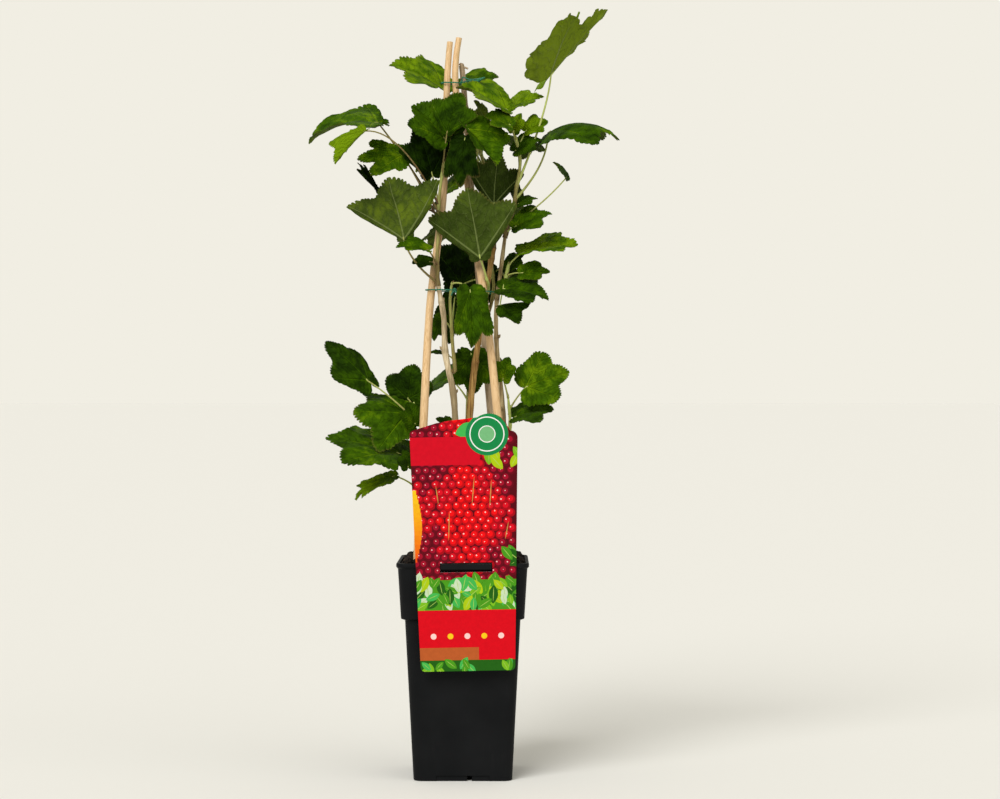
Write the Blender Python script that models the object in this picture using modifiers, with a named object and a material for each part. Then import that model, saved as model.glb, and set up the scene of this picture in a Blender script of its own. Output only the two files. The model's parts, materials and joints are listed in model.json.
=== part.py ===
"""Young redcurrant bush in a deep square nursery pot, tied to three canes, with a hanging label.

Metres, +Z up. The origin is the middle of the pot's underside, and -Y is the front.
Stems, canes and leaves are given as they are seen from VIEWPOINT: a column and a row of
the picture plane, and a depth behind the pot's middle in millimetres.
"""
import math
from typing import NamedTuple

import bmesh
import bpy
import numpy as np
from mathutils import Matrix, Vector, noise
from mathutils.bvhtree import BVHTree

MM = 0.001
GAP = 0.3 * MM

# Place of the eye, and the picture plane's scale
VIEWPOINT = Vector((0.0334, -2.0, 0.342))
FOCAL = 2183.4
CENTRE_COLUMN = 500.0
CENTRE_ROW = 399.5

# Pot
POT_HEIGHT = 196 * MM
POT_BASE_HALF = 44.35 * MM
POT_BODY_TOP_HALF = 51.75 * MM
BAND_FOOT = 146 * MM
BAND_FOOT_HALF = 55.25 * MM
BAND_TOP_HALF = 57.9 * MM
LIP_HALF = 59.4 * MM
LIP_HEIGHT = 5 * MM
LIP_TAPER = 1.6 * MM
WALL = 2 * MM
POT_CORNER = 9 * MM
CORNER_TAPER = 0.2
LIP_EDGE = 0.8 * MM
BAND_STEP = 1.5 * MM
FLOOR_UNDER = 5 * MM
FLOOR_TOP = 7.5 * MM
FOOT_RIM = 2.3 * MM
BOSS_RADIUS = 14 * MM
BOSS_DROP = 1 * MM
DRAIN_RADIUS = 4 * MM
DRAIN_OFFSET = 24 * MM
RECESS_WIDTH = 48 * MM
RECESS_DEPTH = 1 * MM
SLIT_WIDTH = 4.5 * MM
SLIT_HEIGHT = 4.6 * MM
SLIT_OFFSET = 6 * MM

# Label and the lug that it hangs on
LABEL_X = 3.2 * MM
LABEL_FRONT = -62.0 * MM
LABEL_THICKNESS = 0.8 * MM
LABEL_FOOT = 101 * MM
LABEL_LEFT_TOP = 315.5 * MM
LABEL_RIGHT_TOP = 313.7 * MM
LABEL_CREST = 323.5 * MM
LABEL_TOP_WIDTH = 96 * MM
LABEL_FOOT_WIDTH = 84 * MM
LABEL_CORNER = 4 * MM
SHOULDER_CORNER = 6.4 * MM
LABEL_LEAN = math.radians(-1.1)
BUMP_X = 22.7 * MM
BUMP_Z = 311.4 * MM
BUMP_RADIUS = 17.8 * MM
SLOT_WIDTH = 46.6 * MM
SLOT_FOOT = 188.7 * MM
SLOT_TOP = 197.1 * MM
TONGUE_DROP = 1 * MM
TONGUE_DEPTH = 23 * MM
CREASE_WIDTH = 0.7 * MM
CREASE_DEPTH = 0.25 * MM
LUG_WIDTH = 45.4 * MM
LUG_FRONT = -63.4 * MM
LUG_ROOT = 1.5 * MM
LUG_RISE = 0.2 * MM

# Soil
SOIL_TOP = 194.5 * MM
SOIL_SWELL = 2.2 * MM
SOIL_GAP = 0.4 * MM
LEDGE_STEP = 0.1 * MM
SOIL_RINGS = (0.8, 0.55, 0.25)
LUMP_FREQUENCY = 70
HOLE_GAP = 1.4 * GAP
CRUMB_COUNT = 38
CRUMB_SIZES = (2.2 * MM, 4.6 * MM)
CRUMB_LIFT = 0.55
CRUMB_CLEARANCE = 10.5 * MM
RIM_CRUMB_SIZES = (3.6 * MM, 4.8 * MM)
RIM_CRUMBS = (
    (-0.049, -0.046), (-0.0495, -0.036), (-0.049, -0.025), (-0.0495, -0.012), (-0.049, 0.002),
    (-0.0495, 0.015), (-0.049, 0.029), (-0.0495, 0.040), (-0.046, 0.048), (-0.038, 0.049),
    (-0.041, -0.048), (0.0485, -0.047), (0.0495, -0.035), (0.049, -0.021), (0.0495, -0.006),
    (0.049, 0.009), (0.0495, 0.023), (0.049, 0.036), (0.0485, 0.046), (0.041, 0.049),
    (0.042, -0.048),
)
SEED = 7

# Leaf blades and petioles
BLADE_THICKNESS = 0.8 * MM
PETIOLE_RADIUS = 0.95 * MM
LONG_PETIOLE = 32 * MM
LEAF_CLEARANCE = 2.0 * MM
STEM_CLEARANCE = 1.4 * MM
DEPTH_STEP = 5.0 * MM
DEPTH_TRIES = 13

# Half of a blade's rim: degrees from the midrib, and reach as a share of the midrib
HALF_RIM = (
    (0, 1.00), (9, 0.95), (18, 0.87), (26, 0.78), (34, 0.86), (42, 0.92), (50, 0.94), (59, 0.86),
    (68, 0.72), (78, 0.60), (92, 0.54), (114, 0.42), (145, 0.18), (180, 0.05),
)
SMALL_HALF_RIM = (
    (0, 1.00), (14, 0.91), (26, 0.75), (38, 0.89), (50, 0.94), (64, 0.77), (92, 0.54), (125, 0.33),
    (180, 0.05),
)
HALF_RIBS = (0, 50, 92)
SMALL_LEAF = 58 * MM
RIB_REACH = 0.52
EDGE_DROOP = 0.22
EDGE_WAVE = 0.045
OUTER_RIM = 129
BASE_FROM = 52
BASE_SPAN = 14
CLEFTS = (26, 74)
CLEFT_WIDTH = 10


class Leaf(NamedTuple):
    """A leaf as seen: blade joint and tip (column, row), depths in mm, angles in degrees.

    turn is 0 with the upper side to the front, 90 with it up, and 180 with the underside
    to the front. spread opens or closes the fan of lobes, base sizes the two beside the joint,
    and cleft deepens the clefts between them all. root is the row at which the petiole leaves
    its stem, and via a place that it bends toward.
    """
    joint: tuple
    tip: tuple
    depth: float
    root: float
    lean: float = 0.0
    turn: float = 50.0
    arch: float = 25.0
    fold: float = 12.0
    width: float = 1.0
    spread: float = 1.0
    via: tuple = None
    base: float = 1.0
    cleft: float = 0.0


# Swellings at the joints of canes and wood: places along the rod, size and extent as shares
CANE_JOINTS = (0.3, 0.55, 0.8)
WOOD_JOINTS = (0.4, 0.62, 0.86)
JOINT_SWELL = 0.14
JOINT_EXTENT = 0.02

# Canes and stems: column, row and depth of points on the axis, foot first, and radii in mm
CANES = {
    "cane_left": (((416.2, 645, -34), (417.0, 575, -34), (423.5, 425, -30),
                   (430.5, 300, -19), (443.0, 200, -11), (447.0, 84, -5), (450.0, 42, -3)), 4.2, 2.7),
    "cane_right": (((509.5, 645, -34), (510.5, 575, -34), (497.0, 410, -29),
                    (484.5, 300, -20), (468.5, 190, -10), (455.5, 84, -4), (459.0, 38, -1)), 4.2, 2.7),
    "cane_back": (((505.0, 650, 35), (503.0, 560, 34), (489.0, 400, 27), (475.0, 233, 16),
                   (463.5, 84, 6), (461.0, 66, 5)), 3.2, 2.4),
}
WOOD = {
    "wood_left": (((459, 594, -8), (458, 560, -8), (457, 470, -10), (454, 400, -12), (449, 372, -13),
                   (445, 350, -15), (444, 320, -18), (441, 300, -21), (438, 285, -23)), 3.3, 2.2),
    "wood_middle": (((465, 594, 5), (465, 560, 5), (466, 470, 5), (471, 400, 4), (477, 350, 1),
                     (490.5, 265, -3), (494, 248, -4)), 3.7, 2.3),
    "wood_right": (((508, 594, -4), (508, 560, -4), (506, 470, -5), (502, 400, -6), (497, 350, -6),
                    (496, 320, -6), (497, 300, -7), (505, 237, -9)), 2.4, 1.8),
}
# A shoot's first word is the stem that carries it, and soil means that it has a hole of its own
SHOOTS = {
    "shoot_left": ("wood_left", (438, 284, -23), (437, 262, -23), (438, 240, -21), (439, 200, -19),
                   (444, 160, -23)),
    "shoot_middle": ("wood_middle", (494, 247, -4), (495, 225, -2), (490, 190, 1), (480, 150, 3),
                     (472, 122, 4)),
    "shoot_right": ("wood_right", (505, 236, -9), (514, 205, -11), (516, 190, -12), (520, 160, -13),
                    (513, 128, -14)),
    "shoot_inner": ("wood_left", (453, 371, -13), (455, 369, -13), (453, 350, -14), (451, 320, -14),
                    (450, 300, -14), (452, 282, -18)),
    "shoot_low_left": ("soil", (423, 594, -16), (421, 560, -17), (416, 510, -18), (413, 470, -19),
                       (412, 430, -19), (414, 402, -19)),
    "shoot_low_right": ("wood_right", (508, 430, -6), (509.5, 428, -7), (510, 418, -9), (508, 396, -11)),
    "shoot_side_right": ("wood_right", (502, 284, -8), (504, 281, -8), (507, 272, -8), (509, 262, -7)),
    "spur_middle": ("wood_middle", (487.6, 292, -6), (487.6, 291, -9), (488.6, 285, -16),
                    (486.5, 279, -23)),
    "shoot_back_high": ("wood_middle", (488, 312, 1), (489.5, 310, 3), (493, 295, 12), (493, 275, 24),
                        (486, 230, 33), (477, 150, 37)),
    "shoot_back_low": ("wood_middle", (468, 440, 9), (468, 439, 12), (467, 420, 18), (468, 390, 26),
                       (470, 360, 32)),
}
SHOOT_RADII = (1.9 * MM, 1.2 * MM)

LEAVES = {
    "shoot_left": (
        Leaf((378, 123), (308, 141), 4, 212, turn=78, arch=45, fold=14, width=0.85, spread=1.65,
             base=0.42, cleft=0.1, via=(402, 152)),
        Leaf((365, 131), (334, 163), -44, 205, lean=-4, turn=64, arch=12, fold=26, width=0.85,
             spread=0.85, base=0.6, via=(400, 128)),
        Leaf((403, 155), (357, 158), -22, 220, turn=48, fold=-6, width=0.88, spread=0.84,
             base=0.9, cleft=0.15, via=(418, 180)),
        Leaf((404, 240), (386, 178), -28, 283, lean=-6, turn=150, arch=20, fold=15, width=1.55,
             spread=0.74, base=0.2, via=(411, 264)),
        Leaf((379, 193), (357, 163), -8, 215, turn=25, width=0.36, spread=0.5, base=0.4),
        Leaf((428, 250), (396, 246), -46, 266, turn=68, fold=15, width=0.8, base=0.7),
        Leaf((430, 262), (412, 263), -4, 272, turn=50, width=0.75),
        Leaf((445, 139), (413, 104), -18, 161, lean=5, turn=40, arch=18, fold=22),
        Leaf((432, 174), (417, 126), -4, 206, turn=20, width=0.8, base=0.6),
        Leaf((447, 133), (462, 93), -24, 176, turn=28, fold=12, width=0.9, base=0.35),
    ),
    "shoot_middle": (
        Leaf((486, 122), (473, 101), -18, 150, turn=110),
        Leaf((468, 129), (494, 168), -42, 155, lean=-8, turn=55, fold=35, spread=1.05, via=(486, 138)),
        Leaf((465, 138), (462, 188), -22, 172, turn=30, width=0.78, spread=0.7, base=0.8),
        Leaf((494, 205), (500, 152), -22, 226, turn=150, width=0.98, spread=0.85, base=0.3),
    ),
    "shoot_right": (
        Leaf((507, 110), (456, 88), -22, 130, turn=72, fold=20, width=1.0, spread=1.1, base=0.6),
        Leaf((508, 110), (544, 97), -18, 131, turn=75, fold=15, spread=0.9),
        Leaf((510, 125), (484, 116), -30, 140, turn=60, width=0.9),
        Leaf((514, 131), (521, 113), -16, 142, turn=30, width=0.7),
        Leaf((526, 131), (548, 121), -10, 150, turn=50, width=0.9, base=0.8),
        Leaf((515, 151), (541, 139), -20, 160, turn=50, width=0.8, base=0.8),
        Leaf((551, 75), (611, 12), -15, 186, turn=111, arch=8, fold=29, width=0.62, spread=0.92,
             base=1.4, cleft=0.12, via=(548, 112)),
        Leaf((548, 133), (619, 143), -16, 200, lean=-8, turn=82, arch=85, fold=-10, width=0.85,
             spread=0.85, base=0.9, via=(548, 165)),
        Leaf((566, 178), (553, 162), -14, 228, turn=80, via=(543, 205)),
        Leaf((515, 227), (552, 214), -20, 233, turn=62, base=0.7),
        Leaf((518, 204), (538, 199), -8, 214, turn=70),
    ),
    "spur_middle": (
        Leaf((480, 258), (467, 188), -34, 280, lean=-5, turn=168, arch=15, fold=10, width=1.0,
             spread=0.88, base=0.3),
    ),
    "shoot_inner": (
        Leaf((470, 290), (471, 348), -38, 284, lean=-6, turn=22, fold=20, width=0.68, spread=0.7,
             base=0.9, via=(461, 280)),
        Leaf((446, 355), (429, 353), -10, 360, turn=80),
        Leaf((455, 297), (449, 344), 6, 330, turn=30, width=0.5),
        Leaf((442, 318), (434, 341), -6, 330, turn=40, width=0.7),
    ),
    "shoot_side_right": (
        Leaf((522, 253), (578, 246), -10, 266, turn=76, fold=15, spread=0.85, base=0.8),
        Leaf((507, 268), (525, 254), 6, 272, turn=60),
        Leaf((522, 273), (550, 272), -12, 276, turn=38, width=0.62),
        Leaf((511, 276), (533, 283), 4, 281, turn=60),
        Leaf((503, 289), (549, 298), -4, 281, turn=68),
        Leaf((500, 305), (531, 304), -22, 282, turn=65, fold=-25, base=0.8),
        Leaf((497, 270), (490, 303), 2, 279, turn=30),
    ),
    "shoot_low_left": (
        Leaf((368, 381), (326, 341), -12, 418, turn=28, fold=-25, width=0.46, spread=1.2,
             base=0.85, via=(390, 395)),
        Leaf((408, 399), (414, 364), 10, 410, turn=20, width=0.92, spread=1.15),
        Leaf((407, 414), (353, 415), -6, 428, lean=-8, turn=46, fold=-8, width=1.05, spread=1.0,
             base=0.9),
        Leaf((400, 454), (325, 443), -22, 470, turn=66, fold=8, width=0.95, spread=0.85, base=1.1),
        Leaf((394, 476), (354, 498), -24, 486, turn=60, arch=25, fold=5, width=0.55, spread=0.6),
        Leaf((408, 467), (403, 450), -34, 474, turn=40),
        Leaf((415, 424), (408, 402), -30, 432, turn=35),
        Leaf((452, 430), (436, 418), 2, 470, turn=60),
    ),
    "shoot_back_low": (
        Leaf((471, 353), (473, 395), 12, 364, turn=20, width=0.85, spread=0.85),
    ),
    "shoot_back_high": (
        Leaf((444, 90), (389, 66), 18, 152, turn=73, fold=18, spread=1.1, base=0.8, via=(455, 120)),
        Leaf((462, 85), (499, 78), 20, 153, turn=72, fold=15, base=0.8),
        Leaf((461, 285), (459, 229), 36, 278, turn=35, width=0.85, base=0.9),
    ),
    "shoot_low_right": (
        Leaf((526, 387), (569, 371), -14, 410, lean=-6, turn=22, arch=15, width=0.85, spread=0.95,
             base=1.1),
        Leaf((515, 417), (554, 411), -12, 424, turn=66, arch=30, base=0.9),
        Leaf((503, 379), (509, 357), -12, 398, turn=30, width=0.8),
    ),
}

# Leaves at the back, that the front view hides, follow a rule: stem, count and first row and last row
BACK_LEAVES = {
    "shoot_back_high": (6, 236, 146),
    "shoot_back_low": (2, 400, 366),
}
BACK_PETIOLE = (26 * MM, 40 * MM)
BACK_BLADE = (42 * MM, 58 * MM)
BACK_FAN = 42.0
BACK_TURN = (75, 125)
BACK_LEAF = Leaf(None, None, 0, 0, arch=35, spread=1.15)

# Ties, and their ends as offsets in mm from the knot
TWINE_RADIUS = 0.7 * MM
MID_TIE_ROW = 291
MID_TIE_SLOPE = 0.06
TOP_TIE_ROW = 84
KNOT_RADIUS = 1.7 * MM
MID_KNOT_COLUMN = 455
TOP_KNOT_COLUMN = 462
MID_TAILS = (((2, -1.5, -3), (4, -1, -6)), ((-2, -1.5, -2.5), (-3, -1, -5)))
TOP_TAILS = (
    ((1, -1, 5), (7, -2, 3), (14, -3, 3.2), (21, -4, 4.6)),
    ((4, -1.5, 1.5), (9, -2.5, 1.6), (15, -3.5, 2), (20, -4.5, 4)),
    ((5, -1, -0.2), (10, -2, 0.2), (15, -3, 1), (18, -3.6, 2.6)),
)


def seen(column, row, depth_mm=0.0):
    """The point at a column and row of the picture plane, at a depth behind the pot's middle."""
    depth = depth_mm * MM
    scale = (depth - VIEWPOINT.y) / FOCAL
    return Vector((VIEWPOINT.x + (column - CENTRE_COLUMN) * scale, depth,
                   VIEWPOINT.z - (row - CENTRE_ROW) * scale))


def smooth_path(points, per_span):
    """Points on a Catmull-Rom curve through the given points."""
    ends = [points[0] * 2 - points[1], *points, points[-1] * 2 - points[-2]]
    path = []
    for before, start, end, after in zip(ends, ends[1:], ends[2:], ends[3:]):
        for step in range(per_span):
            t = step / per_span
            path.append(0.5 * (2 * start + (end - before) * t
                               + (2 * before - 5 * start + 4 * end - after) * t * t
                               + (3 * start - 3 * end + after - before) * t ** 3))
    path.append(points[-1])
    return path


def at_row(path, row):
    """The point of a rising path at a row, judged at the path's own depth."""
    for low, high in zip(path, path[1:]):
        rows = [CENTRE_ROW + (VIEWPOINT.z - p.z) * FOCAL / (p.y - VIEWPOINT.y) for p in (low, high)]
        if rows[1] <= row:
            share = min(max((rows[0] - row) / (rows[0] - rows[1]), 0.0), 1.0)
            return low.lerp(high, share)
    return path[-1].copy()


def at_height(path, z):
    """The point of a rising path at a height."""
    for low, high in zip(path, path[1:]):
        if high.z >= z:
            return low.lerp(high, min(max((z - low.z) / (high.z - low.z), 0.0), 1.0))
    return path[-1].copy()


def material(name, colour, roughness):
    made = bpy.data.materials.new(name)
    made.use_nodes = True
    shader = made.node_tree.nodes["Principled BSDF"]
    shader.inputs["Base Color"].default_value = (*colour, 1)
    shader.inputs["Roughness"].default_value = roughness
    shader.inputs["Metallic"].default_value = 0
    return made


def mesh_object(name, shape, collection, finish=None):
    """An object from a bmesh, which is freed."""
    mesh = bpy.data.meshes.new(name)
    shape.to_mesh(mesh)
    shape.free()
    made = bpy.data.objects.new(name, mesh)
    if finish:
        mesh.materials.append(finish)
    collection.objects.link(made)
    return made


def as_mesh(source, collection, finish=None):
    """Turn an object into its evaluated mesh, with a curve's caps welded."""
    evaluated = source.evaluated_get(bpy.context.evaluated_depsgraph_get())
    shape = bmesh.new()
    shape.from_mesh(bpy.data.meshes.new_from_object(evaluated))
    shape.transform(source.matrix_world)
    bmesh.ops.remove_doubles(shape, verts=shape.verts, dist=1e-6)
    bmesh.ops.recalc_face_normals(shape, faces=shape.faces)
    name = source.name
    bpy.data.objects.remove(source)
    return mesh_object(name, shape, collection, finish)


def tube(name, path, radii, collection, finish=None, resolution=1, closed=False):
    """A tube along a path, with a radius for each point."""
    curve = bpy.data.curves.new(name, "CURVE")
    curve.dimensions = "3D"
    curve.bevel_depth = max(radii)
    curve.bevel_resolution = resolution
    curve.use_fill_caps = not closed
    spline = curve.splines.new("POLY")
    spline.points.add(len(path) - 1)
    for point, place, radius in zip(spline.points, path, radii):
        point.co = (*place, 1)
        point.radius = radius / max(radii)
    spline.use_cyclic_u = closed
    made = bpy.data.objects.new(name, curve)
    collection.objects.link(made)
    bpy.context.view_layer.update()
    return as_mesh(made, collection, finish)


def shoot_path(points, rods):
    """A shoot's path, with its foot brought to the surface of the stem that carries it."""
    carrier, *marks = points
    places = [seen(*mark) for mark in marks]
    if carrier != "soil":
        axis, radii = rods[carrier]
        if places[0].z > axis[-1].z:
            onward = (places[1] - axis[-1]).normalized()
            tilt = (axis[-1] - axis[-2]).angle(onward)
            places[0] = axis[-1] + onward * (GAP + SHOOT_RADII[0] * math.sin(tilt))
        else:
            near = min(range(len(axis) - 1), key=lambda index: abs(axis[index].z - places[0].z))
            centre = at_height(axis, places[0].z)
            outward = (places[0] - centre).normalized()
            places[0] = centre + outward * (max(radii[near:near + 2]) + GAP * 2)
            places[1] = places[0] + outward * 2.5 * MM
            return places[:1] + smooth_path(places[1:], 1)
    return smooth_path(places, 1)


def tapered(path, first, last, bumps=()):
    """Radii that shrink evenly along a path, with a swelling at each listed share of it."""
    radii = []
    for index in range(len(path)):
        share = index / (len(path) - 1)
        swell = sum(JOINT_SWELL * math.exp(-((share - bump) / JOINT_EXTENT) ** 2) for bump in bumps)
        radii.append((first + (last - first) * share) * (1 + swell))
    return radii


def cut_or_join(body, tools, operation, solver="EXACT"):
    """One Boolean with every object of a collection, applied, after which they are removed."""
    modifier = body.modifiers.new(operation.lower(), "BOOLEAN")
    modifier.operation = operation
    modifier.solver = solver
    modifier.operand_type = "COLLECTION"
    modifier.collection = tools
    bpy.context.view_layer.update()
    evaluated = body.evaluated_get(bpy.context.evaluated_depsgraph_get())
    body.data = bpy.data.meshes.new_from_object(evaluated)
    body.modifiers.clear()
    for tool in list(tools.objects):
        bpy.data.objects.remove(tool)
    return body


def box(name, low, high, collection):
    shape = bmesh.new()
    bmesh.ops.create_cube(shape, size=1)
    middle = (Vector(low) + Vector(high)) / 2
    size = Vector(high) - Vector(low)
    shape.transform(Matrix.Translation(middle) @ Matrix.Diagonal((*size, 1)))
    return mesh_object(name, shape, collection)


def cylinder(name, radius, low, high, x, y, collection, segments=12):
    shape = bmesh.new()
    bmesh.ops.create_cone(shape, cap_ends=True, segments=segments, radius1=radius, radius2=radius,
                          depth=high - low)
    shape.transform(Matrix.Translation((x, y, (low + high) / 2)))
    return mesh_object(name, shape, collection)


def rounded_square(half, corner, z, steps=3):
    """Points round a square with round corners."""
    points = []
    for quarter in range(4):
        for step in range(steps + 1):
            angle = math.radians(90 * (quarter + step / steps))
            turn = math.radians(90 * quarter + 45)
            middle = Vector((math.cos(turn), math.sin(turn))) * math.sqrt(2) * (half - corner)
            points.append(Vector((middle.x + corner * math.cos(angle),
                                  middle.y + corner * math.sin(angle), z)))
    return points


def loft(rings):
    """A closed solid through rings of equal count, capped at both ends."""
    shape = bmesh.new()
    made = [[shape.verts.new(point) for point in ring] for ring in rings]
    count = len(made[0])
    for low, high in zip(made, made[1:]):
        for index in range(count):
            after = (index + 1) % count
            shape.faces.new((low[index], low[after], high[after], high[index]))
    shape.faces.new(list(reversed(made[0])))
    shape.faces.new(made[-1])
    bmesh.ops.recalc_face_normals(shape, faces=shape.faces)
    return shape


def inner_half(z):
    """Half the pot's width inside, at a height."""
    if z > BAND_FOOT + WALL:
        share = (z - BAND_FOOT) / (POT_HEIGHT - LIP_HEIGHT - BAND_FOOT)
        return BAND_FOOT_HALF - WALL + (BAND_TOP_HALF - BAND_FOOT_HALF) * share
    return POT_BASE_HALF - WALL + (POT_BODY_TOP_HALF - POT_BASE_HALF) * z / BAND_FOOT


def corner_of(half):
    """The pot's corner radius where it is this wide from middle to side."""
    return POT_CORNER - (POT_BODY_TOP_HALF - half) * CORNER_TAPER


def build_pot(parts, tools, plastic):
    lip_foot = POT_HEIGHT - LIP_HEIGHT
    ledge = BAND_FOOT + WALL
    profile = (
        (0, POT_BASE_HALF), (BAND_FOOT - BAND_STEP, POT_BODY_TOP_HALF), (BAND_FOOT, BAND_FOOT_HALF),
        (lip_foot, BAND_TOP_HALF), (lip_foot + LIP_TAPER, LIP_HALF), (POT_HEIGHT - LIP_EDGE, LIP_HALF),
        (POT_HEIGHT, LIP_HALF - LIP_EDGE), (POT_HEIGHT, inner_half(POT_HEIGHT)),
        (ledge + LEDGE_STEP, inner_half(ledge + LEDGE_STEP)), (ledge, inner_half(ledge)),
        (FLOOR_TOP, inner_half(FLOOR_TOP)),
    )
    rings = [rounded_square(half, corner_of(half), z) for z, half in profile]
    pot = mesh_object("pot", loft(rings), parts, plastic)

    under = POT_BASE_HALF - FOOT_RIM
    box("hollow_under", (-under, -under, -FLOOR_UNDER), (under, under, FLOOR_UNDER), tools)
    cut_or_join(pot, tools, "DIFFERENCE")
    reach = POT_BASE_HALF + 5 * MM
    edge = POT_BASE_HALF - RECESS_DEPTH
    half = RECESS_WIDTH / 2
    slit = (SLIT_OFFSET - SLIT_WIDTH / 2, SLIT_OFFSET + SLIT_WIDTH / 2)
    for side in (-1, 1):
        near, far = sorted((side * edge, side * reach))
        box("recess_y", (-half, near, -FLOOR_UNDER), (half, far, FLOOR_UNDER), tools)
        box("recess_x", (near, -half, -FLOOR_UNDER), (far, half, FLOOR_UNDER), tools)
    box("slit_y", (slit[0], -reach, -SLIT_HEIGHT), (slit[1], reach, SLIT_HEIGHT), tools)
    box("slit_x", (-reach, slit[0], -SLIT_HEIGHT), (reach, slit[1], SLIT_HEIGHT), tools)
    for x in (-DRAIN_OFFSET, DRAIN_OFFSET):
        for y in (-DRAIN_OFFSET, DRAIN_OFFSET):
            cylinder("drain", DRAIN_RADIUS, 0, FLOOR_TOP * 2, x, y, tools)
    cut_or_join(pot, tools, "DIFFERENCE")
    cylinder("boss", BOSS_RADIUS, 0, FLOOR_TOP - BOSS_DROP, 0, 0, tools, 20)
    box("lug", (LABEL_X - LUG_WIDTH / 2, LUG_FRONT, lip_foot + LUG_RISE),
        (LABEL_X + LUG_WIDTH / 2, -LIP_HALF + LUG_ROOT, POT_HEIGHT), tools)
    cut_or_join(pot, tools, "UNION")
    return pot


def build_soil(parts, tools, peat, rods):
    """Soil up to just under the rim, with a hole for each cane and stem."""
    random = np.random.default_rng(SEED)
    ledge = BAND_FOOT + WALL
    narrow = inner_half(ledge - GAP)
    wide_from = ledge + 2 * LEDGE_STEP + GAP
    profile = (
        (FLOOR_TOP + GAP, inner_half(FLOOR_TOP + GAP)), (ledge - GAP, narrow),
        (ledge + LEDGE_STEP + GAP, narrow), (wide_from, inner_half(wide_from)),
        (SOIL_TOP, inner_half(SOIL_TOP)),
    )
    rings = [rounded_square(half - SOIL_GAP, corner_of(half) - SOIL_GAP, z) for z, half in profile]
    surface = inner_half(SOIL_TOP) - SOIL_GAP
    for share in SOIL_RINGS:
        ring = rounded_square(surface * share, corner_of(surface) * share, SOIL_TOP)
        for point in ring:
            point.z += SOIL_SWELL * (1 - share + 0.5 * noise.noise(point * LUMP_FREQUENCY))
        rings.append(ring)
    soil = mesh_object("soil", loft(rings), parts, peat)
    limit = surface - CRUMB_SIZES[1] * 1.5
    places = list(RIM_CRUMBS)
    while len(places) < CRUMB_COUNT:
        place = random.uniform(-limit, limit, 2)
        level = [at_height(path, SOIL_TOP) for path, _, _ in rods]
        if min(math.hypot(place[0] - p.x, place[1] - p.y) for p in level) > CRUMB_CLEARANCE:
            places.append(tuple(place))
    for index, (x, y) in enumerate(places):
        radius = random.uniform(*(RIM_CRUMB_SIZES if index < len(RIM_CRUMBS) else CRUMB_SIZES))
        shape = bmesh.new()
        bmesh.ops.create_icosphere(shape, subdivisions=1, radius=radius)
        stretch = random.uniform(0.8, 1.2, 2)
        place = Matrix.Translation((x, y, SOIL_TOP + radius * CRUMB_LIFT))
        shape.transform(place @ Matrix.Rotation(random.uniform(0, 3), 4, "Z")
                        @ Matrix.Diagonal((stretch[0], stretch[1], 0.8, 1)))
        mesh_object("crumb", shape, tools)
    cut_or_join(soil, tools, "UNION")
    for path, radii, resolution in rods:
        buried = 1 + sum(point.z < SOIL_TOP + 2 * SOIL_SWELL for point in path)
        wider = [radius + HOLE_GAP for radius in radii[:buried]]
        foot = path[0] + (path[0] - path[1]).normalized() * HOLE_GAP
        tube("hole", [foot, *path[1:buried]], wider, tools, resolution=resolution)
    return cut_or_join(soil, tools, "DIFFERENCE")


def arc(x, z, radius, start, end, steps):
    """Points on an arc, its angles in degrees."""
    angles = [math.radians(start + (end - start) * step / steps) for step in range(steps + 1)]
    return [(x + radius * math.cos(angle), z + radius * math.sin(angle)) for angle in angles]


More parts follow.
